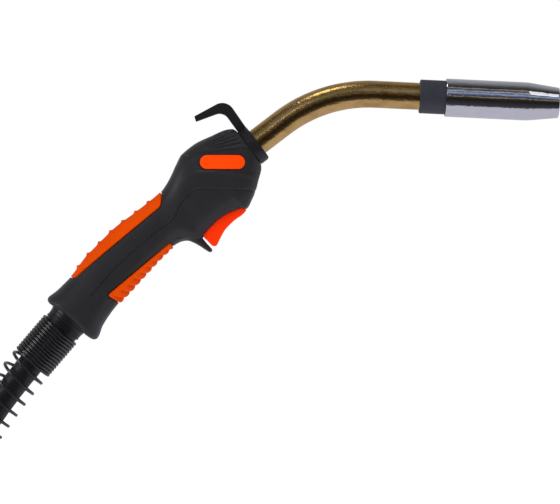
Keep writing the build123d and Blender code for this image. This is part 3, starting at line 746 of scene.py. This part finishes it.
def side_reach(station, z):
    """Half width of the bare handle at a height."""
    back, belly = back_line(station), belly_line(station)
    middle, height = (back + belly) / 2, (back - belly) / 2
    power = fullness_line(station)
    share = np.clip(np.abs(z - middle) / height, 0, 0.999)
    return half_width_line(station) * (1 - share**power) ** (1 / power)


def handle_grid(stations, around, inset=0.0):
    """Rings of points of the bare handle surface."""
    angles = np.linspace(-pi, pi, around, endpoint=False)
    s, a = np.meshgrid(stations, angles, indexing="ij")
    return np.stack(handle_point(s, a, inset), axis=-1)


def handle_solid(name, grid):
    """Closed mesh over a grid of rings of points in the handle frame."""
    return plain_mesh(name, move(grid.reshape(-1, 3), HANDLE_FRAME), capped_rings(*grid.shape[:2]))


def outward_normals(points, along, across, middle):
    """Unit normals of a grid of points, turned to face away from the middle."""
    normals = unit(np.cross(across, along))
    return normals * np.sign(np.sum(normals * (points - middle), axis=-1))[..., None]


def badge_distance(x, z):
    """Distance outside the badge's stadium outline."""
    dx, dz = x - BADGE_CENTRE[0], z - BADGE_CENTRE[1]
    along = dx * cos(BADGE_LEAN) + dz * sin(BADGE_LEAN)
    across = -dx * sin(BADGE_LEAN) + dz * cos(BADGE_LEAN)
    straight = (BADGE_LENGTH - BADGE_HEIGHT) / 2
    return np.hypot(np.maximum(np.abs(along) - straight, 0), across) - BADGE_HEIGHT / 2


def pad_edge_height(pad, x):
    """Height of a pad's side edge at a place along the handle, and the edge's slope."""
    (rear_x, rear_z), (front_x, front_z) = pad["edge"]
    slope = (front_z - rear_z) / (front_x - rear_x)
    return rear_z + slope * (x - rear_x), slope


def pad_ends(pad, from_edge):
    """Rear and front ends of a pad at a distance in from its side edge, with rounded corners."""
    drift = np.clip(from_edge / PAD_END_RUN, 0, 1)
    (rear_x, _), (front_x, _) = pad["edge"]
    corner = rim_drop(PAD_CORNER, from_edge)
    rear = rear_x + (pad["seam"][0] - rear_x) * drift + corner
    front = front_x + (pad["seam"][1] - front_x) * drift - corner
    return rear, front


def pad_depth_inside(pad, x, z):
    """How far inside a pad's side outline a point lies, negative outside."""
    edge_z, slope = pad_edge_height(pad, x)
    from_edge = pad["sign"] * (z - edge_z) / sqrt(1 + slope**2)
    rear, front = pad_ends(pad, from_edge)
    return np.minimum(from_edge, np.minimum(x - rear, front - x))


def thumb_ribs(x, z):
    """Fine ridges that fan out over the head from the rear to the hook ring."""
    dx, dz = x - THUMB_FAN_ROOT[0], z - THUMB_FAN_ROOT[1]
    bearing = np.degrees(np.arctan2(dz, dx))
    turns = (bearing - THUMB_FAN_LOW) / THUMB_RIB_STEP
    shown = smoothstep(10, 26, np.hypot(dx, dz)) * smoothstep(-12.5, -15.0, x - 0.12 * z)
    shown = shown * smoothstep(THUMB_FAN_LOW, THUMB_FAN_LOW + 1.5, bearing)
    shown = shown * smoothstep(THUMB_FAN_HIGH, THUMB_FAN_HIGH - 2, bearing)
    return THUMB_RIB_HEIGHT * shown * (0.5 - 0.5 * np.cos(2 * pi * turns)) ** 0.7


def handle_relief(points, normals):
    """Height of the handle's creases, recesses and ribs over the bare surface."""
    x, y, z = points[..., 0], points[..., 1], points[..., 2]
    facing = np.abs(normals[..., 1])
    below_thumb = side_distance(THUMB_CREASE, x, z)
    below_badge = side_distance(BADGE_CREASE, x, z)
    below_flank = side_distance(FLANK_CREASE, x, z)
    panel = smoothstep(-0.25, 0.75, below_thumb) * smoothstep(0.3, -2.0, below_badge)
    panel = panel * smoothstep(-66, -44, x)
    relief = -PANEL_DEPTH * panel * np.minimum(1, facing * 1.6)
    lip = np.exp(-((below_badge - 1.1) / 1.3) ** 2) * smoothstep(-58, -36, x) * smoothstep(-22, -27, x)
    relief += LIP_HEIGHT * lip
    flank = smoothstep(-0.35, 0.55, below_flank) * smoothstep(-182, -165, x)
    fade = smoothstep(-20, -34, x)
    relief -= FLANK_DEPTH * flank * fade * smoothstep(0.35, 0.8, facing)
    undercut = smoothstep(-0.35, 0.2, below_flank) * np.exp(-np.maximum(below_flank, 0) / 1.8)
    relief -= UNDERCUT_DEPTH * undercut * fade * smoothstep(-176, -168, x)
    relief += thumb_ribs(x, z) * smoothstep(0.15, 0.4, facing)
    relief -= BADGE_SINK * smoothstep(1.0, 0.65, badge_distance(x, z))
    for pad in (UPPER_PAD, LOWER_PAD):
        relief -= (PAD_DEPTH + 0.1) * smoothstep(-0.3, 0.0, pad_depth_inside(pad, x, z))
    return relief


def handle_stations():
    """Stations from nose to rear, close together where the ends round over."""
    nose = NOSE_STATION - NOSE_ROUNDING * (1 - np.cos(np.linspace(0, pi / 2, 7)))
    rear = REAR_STATION + REAR_ROUNDING * (1 - np.cos(np.linspace(pi / 2, 0, 10)))
    middle = np.linspace(nose[-1], rear[0], 330)
    return np.concatenate([nose, middle[1:-1], rear])


def handle_skin():
    """Closed outside of the whole handle with all its relief."""
    points = handle_grid(handle_stations(), 240)
    across = np.roll(points, -1, axis=1) - np.roll(points, 1, axis=1)
    core = points.mean(axis=1, keepdims=True)
    normals = outward_normals(points, np.gradient(points, axis=0), across, core)
    return handle_solid("handle_blank", points + normals * handle_relief(points, normals)[..., None])


def finger_guard():
    """Curved fin behind the trigger, widening into the grip."""
    front, rear, width = (smooth_line(line) for line in (GUARD_FRONT, GUARD_REAR, GUARD_HALF_WIDTH))
    tip_levels = np.linspace(GUARD_TIP - 0.3, GUARD_TIP - 1.9, 8)
    angles = 2 * pi * np.arange(72) / 72
    rings = []
    for level in np.concatenate([np.linspace(GUARD_ROOT, GUARD_TIP, 40), tip_levels]):
        middle = (front(level) + rear(level)) / 2
        depth = (front(level) - rear(level)) / 2
        tip = sqrt(max(1e-4, 1 - max(0.0, (GUARD_TIP - level) / GUARD_TIP_ROUNDING) ** 2))
        c, s = np.cos(angles), np.sin(angles)
        reach = (np.abs(c) ** 3 + np.abs(s) ** 3) ** (-1 / 3)
        x = middle + depth * tip * reach * c
        y = width(level) * (0.7 + 0.3 * tip) * reach * s
        rings.append(np.column_stack([x, y, np.full(len(angles), level)]))
    return handle_solid("guard", np.array(rings))


def cavity():
    """Hollow inside of the handle."""
    return handle_solid("cavity", handle_grid(np.linspace(CAVITY_FRONT, CAVITY_REAR, 60), 64, WALL))


def socket_room():
    """Ball socket with its mouth, as one turned cutter."""
    profile = ball_arc(SOCKET_RADIUS, *SOCKET_ARC, 24)
    last_x, last_radius = profile[-1]
    profile += [(last_x - back, last_radius + wider) for back, wider in SOCKET_MOUTH]
    return plug("socket", profile, REAR_FRAME)


def spigot():
    """Hollow nose that carries the hook ring, with a lip that keeps the ring on."""
    root, lip_rear, front = RING_REAR - 3.0, RING_FRONT - 1.4, RING_FRONT - 0.4
    bore = NECK_RADIUS + 0.05
    profile = [
        (root, bore), (root, SPIGOT_RADIUS), (lip_rear, SPIGOT_RADIUS), (lip_rear, LIP_RADIUS),
        (front - 0.4, LIP_RADIUS), (front, LIP_RADIUS - 0.4), (front, bore),
    ]
    return turned("spigot", profile, NOSE_FRAME)


def cross_rod(name, place, radius, ends, segments=32):
    """Cylinder along Y between two ends, at a side-view place on the handle."""
    turn = Matrix.Translation((place[0], 0, place[1])) @ Matrix.Rotation(pi / 2, 4, "Z")
    return plug(name, [(end, radius) for end in ends], HANDLE_FRAME @ turn, segments)


def handle_body():
    """Whole handle: blank, guard and spigot joined, then hollowed and opened, with bosses left in."""
    blank = handle_skin()
    join(blank, finger_guard())
    hollow = cavity()
    for place in SCREW_PLACES:
        cut(hollow, cross_rod("boss", place, BOSS_RADIUS, (-40, 40)))
    cut(blank, hollow)
    neck_bore = NECK_RADIUS + 0.1
    cut(blank, plug("bore", [(5, neck_bore), (-40, neck_bore)], NOSE_FRAME))
    join(blank, spigot())
    cut(blank, block("slot", *TRIGGER_SLOT, HANDLE_FRAME))
    passage = [(-165, PASSAGE_RADIUS), (-185, PASSAGE_RADIUS)]
    cut(blank, plug("passage", passage, HANDLE_FRAME @ Matrix.Translation((0, 0, PASSAGE_HEIGHT))))
    cut(blank, socket_room())
    return blank


def handle_halves():
    """Both shells, split at the seam; the screws go in from the left."""
    blank = handle_body()
    for side, name in SIDES:
        node = "handle_shell_" + name
        half = add_object(node + "_skin", blank.data.copy())
        near, far = sorted((side * SEAM_GAP, side * 80))
        combine(half, block("keep", (-260, near, -80), (60, far, 80), HANDLE_FRAME), "INTERSECT")
        if side > 0:
            for place in SCREW_PLACES:
                cut(half, cross_rod("hole", place, SCREW_HOLE_RADIUS, (SCREW_HOLE_FLOOR, 30), 40))
        finish_piece(half, "torch", "handle_plastic", node)
    bpy.data.objects.remove(blank)


# ---- grip pads, badges ----


def handle_slab(name, outer, inner, slot):
    """Finished piece between an outer and an inner sheet of points on the handle."""
    both = np.concatenate([outer.reshape(-1, 3), inner.reshape(-1, 3)])
    thing = plain_mesh(name + "_skin", move(both, HANDLE_FRAME), slab_faces(*outer.shape[:2]))
    finish_piece(thing, "torch", slot, name)


def pad_ribs(pad, x, y, v):
    """Ribs over the upper pad's back, or cross ribs along the lower pad."""
    if pad is UPPER_PAD:
        ribs = 0
        for number in range(UPPER_RIB_COUNT):
            away = x - (UPPER_RIB_FIRST + number * UPPER_RIB_PITCH)
            ribs = ribs + np.exp(-((away / 1.25) ** 2))
        return 1.25 * ribs * smoothstep(12.5, 8.5, np.abs(y))
    turns = (x + 160.5) / LOWER_RIB_PITCH + 0.05 * np.abs(y)
    tooth = 1.6 * np.abs(np.sin(pi * turns)) ** 0.8 - 1
    ends = smoothstep(-162, -159, x) * smoothstep(-101, -104, x)
    return 0.95 * (tooth + 0.2) * smoothstep(0.06, 0.34, v) * ends


def grip_pad(name, pad, side):
    """One overmoulded pad, from its side edge round to the seam."""
    columns, rows = (360, 70) if pad is UPPER_PAD else (300, 60)
    u = np.linspace(0, 1, columns)[:, None]
    v = np.linspace(0, 1, rows)[None, :] ** 1.4
    sign = pad["sign"]
    (rear_x, _), (front_x, _) = pad["edge"]
    station = rear_x + (front_x - rear_x) * u + 0 * v
    for _ in range(8):
        edge_z, _ = pad_edge_height(pad, station)
        edge_z = edge_z + sign * PAD_GAP
        middle = (back_line(station) + belly_line(station)) / 2
        first = np.arctan2(edge_z - middle, side_reach(station, edge_z))
        angle = first + (sign * pi / 2 - first) * v
        x, _, z = handle_point(station, angle)
        rear, front = pad_ends(pad, sign * (z - edge_z))
        station = rear + PAD_GAP + (front - rear - 2 * PAD_GAP) * u
    points = np.stack(handle_point(station, angle), axis=-1)
    core = np.stack([points[..., 0], 0 * middle, middle], axis=-1)
    normals = outward_normals(points, np.gradient(points, axis=0), np.gradient(points, axis=1), core)
    girth = np.linalg.norm(np.diff(points, axis=1), axis=-1).sum(axis=1)[:, None]
    from_rim = np.minimum(np.minimum(u, 1 - u) * (front - rear), v * girth)
    ribs = pad_ribs(pad, points[..., 0], points[..., 1], v + 0 * u)
    lift = PAD_STAND - rim_drop(PAD_RIM, from_rim) + ribs * smoothstep(0.2, 1.4, from_rim)
    outer = points + normals * lift[..., None]
    inner = points - normals * PAD_DEPTH
    for sheet in (outer, inner):
        sheet[:, -1, 1] = SEAM_GAP
        sheet[..., 1] *= side
    handle_slab(name, outer, inner, "grip_orange")


def badge_plate(side, name):
    """Plain stadium plate with a rounded rim, following the handle's side."""
    rows, columns = 61, 21
    straight, radius = (BADGE_LENGTH - BADGE_HEIGHT) / 2, BADGE_HEIGHT / 2
    along = (straight + radius) * np.sin(np.linspace(-pi / 2, pi / 2, rows))[:, None]
    beyond = np.clip(np.abs(along) - straight, 0, radius)
    reach = np.sqrt(radius**2 - beyond**2)
    across = reach * np.sin(np.linspace(-pi / 2, pi / 2, columns))[None, :]
    along = along + 0 * across
    x = BADGE_CENTRE[0] + along * cos(BADGE_LEAN) - across * sin(BADGE_LEAN)
    z = BADGE_CENTRE[1] + along * sin(BADGE_LEAN) + across * cos(BADGE_LEAN)
    station = x - lean_line(x) * z
    floor_y = side_reach(station, z) - PANEL_DEPTH - BADGE_SINK
    drop = rim_drop(BADGE_RIM, -badge_distance(x, z))
    outer = np.stack([x, side * (floor_y + BADGE_THICK - drop), z], axis=-1)
    inner = np.stack([x, side * (floor_y - BADGE_THICK), z], axis=-1)
    handle_slab(name, outer, inner, "badge_orange")


# ---- trigger and hook ----


def trigger():
    """Lever with a hollowed front face, a nub for the switch and a pocket for its spring."""
    face = smooth_line(TRIGGER_FACE)
    outline = filleted(TRIGGER_BACK)
    outline += [(x, float(face(x))) for x in np.linspace(-46.8, -76.6, 44)]
    thing = plate("trigger_skin", outline, TRIGGER_HALF_WIDTH, 1.1, HANDLE_FRAME)
    join(thing, cross_rod("nub", SWITCH_NUB_PLACE, SWITCH_NUB_RADIUS, (-2.5, 2.5)))
    upright = Matrix.Translation((COIL_PLACE, 0, -21.0)) @ Matrix.Rotation(pi / 2, 4, "Y")
    pocket = [(-6, TRIGGER_POCKET_RADIUS), (6.5, TRIGGER_POCKET_RADIUS)]
    cut(thing, plug("pocket", pocket, HANDLE_FRAME @ upright, 40))
    cut(thing, cross_rod("pin_hole", TRIGGER_PIN_PLACE, TRIGGER_PIN_RADIUS, (-12, 12)))
    finish_piece(thing, "trigger", "trigger_orange", "trigger")


def trigger_spring():
    """Coil spring between the lever and the switch."""
    turns = np.linspace(0, COIL_TURNS, COIL_TURNS * 32 + 1)
    across = COIL_PLACE + COIL_RADIUS * np.cos(2 * pi * turns)
    sideways = COIL_RADIUS * np.sin(2 * pi * turns)
    path = np.column_stack([across, sideways, np.linspace(COIL_FOOT, COIL_TOP, len(turns))])
    thing = tube("trigger_spring_skin", path, COIL_WIRE, HANDLE_FRAME, 10)
    finish_piece(thing, "torch", "spring_steel", "trigger_spring")
    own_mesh(thing)


def hanging_hook():
    """Ring that turns on the spigot, with a hook arm on top that points to the rear."""
    step, lip_room = RING_FRONT - 1.6, LIP_RADIUS + 0.25
    corners = [
        (RING_REAR, RING_BORE, 0), (RING_REAR, RING_RADIUS, 0.5), (step, RING_RADIUS, 0.6),
        (RING_FRONT, RING_RADIUS - 1.0, 0.5), (RING_FRONT, lip_room, 0), (step, lip_room, 0),
        (step, RING_BORE, 0),
    ]
    ring = turned("hanging_hook_skin", filleted(corners), NOSE_FRAME, 160)
    join(ring, plate("arm", filleted(HOOK_ARM, 14), HOOK_HALF_WIDTH, 0.9, NOSE_FRAME))
    finish_piece(ring, "hook", "hook_plastic", "hanging_hook")


# ---- welding end ----


def gas_nozzle():
    """Plated nozzle: long barrel, soft shoulder and taper, rolled rear rim and thin mouth."""
    low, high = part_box("gas_nozzle")
    rear, mouth = low.x / MM, high.x / MM
    radius = (high.y - low.y) / 2 / MM
    taper = mouth - NOZZLE_TAPER_LENGTH
    shoulder = smooth_line([(taper + x, radius - drop) for x, drop in NOZZLE_SHOULDER])
    outside = [(rear, radius - 0.5), (rear + 0.15, radius - 0.15), (rear + 0.5, radius)]
    outside += [(x, radius) for x in np.linspace(rear + 0.8, taper - 3.3, 16)]
    outside += [(x, float(shoulder(x))) for x in np.linspace(taper - 3, mouth - 0.5, 40)]
    outside += [(mouth - 0.12, radius - 3.05), (mouth, radius - 3.35)]
    inside = [(mouth, radius - 4.3), (mouth - 0.3, radius - 4.55)]
    inside += [(taper + 6, NOZZLE_BORE), (rear, NOZZLE_BORE)]
    thing = turned("gas_nozzle_skin", outside + inside, TIP_FRAME, 160)
    finish_piece(thing, "nozzle", "nozzle_chrome", "gas_nozzle")


def neck_tube():
    """Bent tube from the nozzle into the handle: straight, arc, straight."""
    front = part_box("neck_outer_tube")[1].x / MM
    forward = Vector(joints["hook_turn"]["axis"])
    path = [(x, 0, 0) for x in np.linspace(front, NECK_BEND_START, 40)]
    for turn in np.linspace(0, atan2(forward.z, forward.x), 61)[1:]:
        path.append((NECK_BEND_START - NECK_BEND_RADIUS * sin(turn), 0, -NECK_BEND_RADIUS * (1 - cos(turn))))
    end = Vector(NOSE_PLACE) / MM - forward * NECK_TAIL
    bend_end = Vector(path[-1])
    path += [tuple(bend_end.lerp(end, step / 20)) for step in range(1, 21)]
    thing = tube("neck_outer_tube_skin", path, NECK_RADIUS, TIP_FRAME, 96)
    bore_path = [(front + 1, 0, 0)] + path[1:-1] + [tuple(end - forward)]
    cut(thing, tube("hollow", bore_path, NECK_RADIUS - NECK_WALL, TIP_FRAME, 64))
    finish_piece(thing, "torch", "neck_brass", "neck_outer_tube")


# ---- rear end ----


def cable_point(distance, out=0.0, turn=0.0):
    """Point near the cable's centreline in the rear frame, offset out at an angle."""
    bend = Vector(mounts["cable_end"]["axis"]).angle(-ahead_of(joints["cable_yaw"]["axis"]))
    bend_radius = CABLE_BEND_LENGTH / bend
    along = min(max(distance - STRAIGHT_CABLE, 0.0), CABLE_BEND_LENGTH)
    beyond = max(distance - STRAIGHT_CABLE - CABLE_BEND_LENGTH, 0.0)
    angle = along / bend_radius
    x = -min(distance, STRAIGHT_CABLE) - bend_radius * sin(angle) - beyond * cos(angle)
    z = -bend_radius * (1 - cos(angle)) - beyond * sin(angle)
    return (x - out * sin(turn) * sin(angle), out * cos(turn), z + out * sin(turn) * cos(angle))


def bend_spring():
    """Strain-relief spring: close coils on the carrier, then open ones along the cable."""
    steps = 60
    distance = SPRING_START
    path = []
    for step in range(sum(SPRING_TURNS) * steps + 1):
        turn = step / steps
        opening = smoothstep(0, 1, turn - SPRING_TURNS[0] + 0.5)
        path.append(cable_point(distance, np.interp(opening, (0, 1), SPRING_RADII), 2 * pi * turn))
        distance += np.interp(opening, (0, 1), SPRING_PITCHES) / steps
    thing = tube("bend_spring_skin", path, SPRING_WIRE, REAR_FRAME, 16)
    finish_piece(thing, "cable", "spring_black", "bend_spring")


def cable_jacket():
    """Rubber jacket with slight waviness, cut square at the end."""
    cut_end = [CABLE_END - 0.6, CABLE_END - 0.2, CABLE_END]
    distances = np.concatenate([np.linspace(-1, CABLE_END - 1, 180), cut_end])
    path = [cable_point(d) for d in distances]
    radius = CABLE_RADIUS - 0.12 + 0.1 * np.sin(distances / 5.1) * np.sin(distances / 3.3 + 1)
    radius[-2] -= 0.15
    radius[-1] -= 0.6
    thing = tube("cable_jacket_skin", path, radius, REAR_FRAME, 72)
    inner = [cable_point(d) for d in np.linspace(-3, CABLE_END + 2, 80)]
    cut(thing, tube("hollow", inner, JACKET_BORE, REAR_FRAME, 48))
    finish_piece(thing, "cable", "cable_rubber", "cable_jacket")


def copper_strands():
    """Rope-laid copper strands showing where the jacket is cut back."""
    distances = np.linspace(-1, CABLE_END + 3, 260)
    things = []
    for number in range(STRAND_COUNT):
        turns = 2 * pi * (number / STRAND_COUNT + distances / STRAND_LAY_LENGTH)
        path = [cable_point(place, STRAND_LAY_RADIUS, turn) for place, turn in zip(distances, turns)]
        things.append(tube("strand", path, STRAND_RADIUS, REAR_FRAME, 10))
    thing = things[0]
    with bpy.context.temp_override(active_object=thing, selected_editable_objects=things):
        bpy.ops.object.join()
    thing.name = "cable_copper_strands_skin"
    finish_piece(thing, "cable", "copper", "cable_copper_strands")


def swivel_ball():
    """Half ball with a stepped collar behind it and the carrier tube inside the spring."""
    bore = CABLE_RADIUS + 0.02
    profile = ball_arc(BALL_RADIUS, *BALL_ARC, 29)
    profile += [
        (-6.2, 15.55), (-6.4, 15.0), (-7.2, COLLAR_RADIUS), (-8.2, COLLAR_RADIUS - 0.05),
        (-8.5, COLLAR_RADIUS - 0.35), (-12.0, 14.45), (-12.2, 14.75), (COLLAR_END + 0.2, 14.75),
        (COLLAR_END, 14.5), (COLLAR_END, CARRIER_RADIUS), (CARRIER_END, CARRIER_RADIUS),
        (CARRIER_END, bore), (2.0, bore),
    ]
    thing = turned("swivel_ball_skin", profile, REAR_FRAME, 128)
    finish_piece(thing, "cable", "collar_plastic", "swivel_ball")


# ---- stage ----

CENTRE = (cad_low + cad_high) / 2
WHITE = (1, 1, 1)


def studio_world():
    """Plain pale surround for the camera; banded studio walls for reflections."""
    world = bpy.data.worlds.new("studio")
    bpy.context.scene.world = world
    world.use_nodes = True
    world.node_tree.nodes.clear()
    paint = Nodes(world.node_tree)
    direction = paint.node("ShaderNodeTexCoord").outputs["Generated"]
    split = paint.node("ShaderNodeSeparateXYZ", Vector=direction)
    _, away, upward = split.outputs
    # bearing round the X axis from the camera's side, as a share of a full turn
    bearing = paint.math("ARCTAN2", upward, paint.math("MULTIPLY", away, -1.0))
    share = paint.math("ADD", paint.math("DIVIDE", bearing, 2 * pi), 0.5)
    walls = [
        (-180, (0.02, 0.02, 0.022)), (-173, (0.50, 0.49, 0.55)), (-52, (0.50, 0.49, 0.56)),
        (-46, (0.05, 0.045, 0.05)), (-10, (0.012, 0.012, 0.014)), (6, (0.03, 0.025, 0.02)),
        (10, (0.36, 0.24, 0.12)), (14, (0.02, 0.03, 0.05)), (24, (0.10, 0.14, 0.22)),
        (31, (0.34, 0.40, 0.54)), (37, (0.05, 0.07, 0.11)), (44, (0.40, 0.42, 0.47)),
        (50, (0.04, 0.05, 0.08)), (57, (0.07, 0.09, 0.13)), (62, (0.36, 0.26, 0.15)),
        (67, (0.02, 0.02, 0.025)), (84, (0.06, 0.06, 0.065)), (108, (0.24, 0.24, 0.25)),
        (172, (0.50, 0.50, 0.53)), (180, (0.02, 0.02, 0.022)),
    ]
    walls_seen = paint.ramp(share, [(angle / 360 + 0.5, colour) for angle, colour in walls])
    studio, fill, surround = (
        paint.node("ShaderNodeBackground", Color=colour, Strength=strength).outputs[0]
        for colour, strength in ((walls_seen, 1.0), (WHITE, 0.45), (WHITE, 1.0))
    )
    rays = paint.node("ShaderNodeLightPath").outputs
    lit = paint.mix(rays["Is Diffuse Ray"], studio, fill)
    seen = paint.mix(rays["Is Camera Ray"], lit, surround)
    paint.node("ShaderNodeOutputWorld", Surface=seen)


def floor():
    """Wide pale floor under the torch, bright enough to run into the surround."""
    height = cad_low.z - FLOOR_DROP
    corners = [(x, y, height) for x, y in ((-6, -6), (6, -6), (6, 6), (-6, 6))]
    thing = plain_mesh("floor", corners, [(0, 1, 2, 3)])
    paint = Paint()
    paint.material.name = "floor_white"
    grain = paint.noise(3, 2)
    shade = paint.ramp(grain, [(0.3, 0.86), (0.7, 0.90)])
    paint.set(Base_Color=shade, Roughness=0.7, Emission_Color=WHITE, Emission_Strength=0.62)
    thing.data.materials.append(paint.material)
    thing.visible_glossy = False


def area_light(name, offset, size, energy, reflected, aim=CENTRE, height=None):
    """Soft light, square or a strip; reflected says whether shiny surfaces show it."""
    data = bpy.data.lights.new(name, "AREA")
    data.shape = "RECTANGLE"
    data.size = size
    data.size_y = height or size
    data.energy = energy
    lamp = add_object(name, data)
    lamp.location = CENTRE + Vector(offset)
    lamp.rotation_mode = "QUATERNION"
    lamp.rotation_quaternion = (aim - lamp.location).to_track_quat("-Z", "Y")
    lamp.visible_glossy = reflected


def lights():
    area_light("left_fill", (-0.6, -1.1, 0.8), 0.6, 5.0, False)
    area_light("right_fill", (0.58, -1.2, 0.7), 0.4, 3.0, False)
    area_light("nozzle_glint", (0.66, -0.83, 1.2), 0.26, 0.32, True, aim=cad_high, height=0.5)
    area_light("bend_glint", (-0.38, -1.3, 0.75), 0.12, 0.12, True)
    area_light("left_panel", (-1.25, -0.45, 0.2), 0.6, 3.0, True)
    area_light("top", (-0.3, -0.2, 1.3), 0.3, 1.2, True)
    area_light("top_fill", (-0.1, 0.1, 1.4), 0.8, 5.0, False)


CAMERA_X, CAMERA_Z = -0.1977, -0.1199


def camera():
    """Level camera square to the torch's right side, rolled a little, with a long lens."""
    roll, view_width, distance = radians(-2.7), 0.4144, 1.95
    data = bpy.data.cameras.new("camera")
    data.sensor_width = 36
    data.lens = data.sensor_width * distance / view_width
    data.clip_start, data.clip_end = 0.05, 30
    lens = add_object("camera", data)
    lens.location = (CAMERA_X, -distance, CAMERA_Z)
    lens.rotation_mode = "QUATERNION"
    level = Matrix.Rotation(pi / 2, 3, "X")
    lens.rotation_quaternion = (Matrix.Rotation(roll, 3, "Y") @ level).to_quaternion()
    bpy.context.scene.camera = lens
    bpy.context.scene.view_settings.view_transform = "Standard"


# ---- build ----

paint_cad_nodes()
handle_halves()
for side, name in SIDES:
    grip_pad("upper_grip_pad_" + name, UPPER_PAD, side)
    grip_pad("lower_grip_pad_" + name, LOWER_PAD, side)
    badge_plate(side, "badge_plate_" + name)
trigger()
trigger_spring()
hanging_hook()
gas_nozzle()
neck_tube()
swivel_ball()
bend_spring()
cable_jacket()
copper_strands()
studio_world()
floor()
lights()
camera()
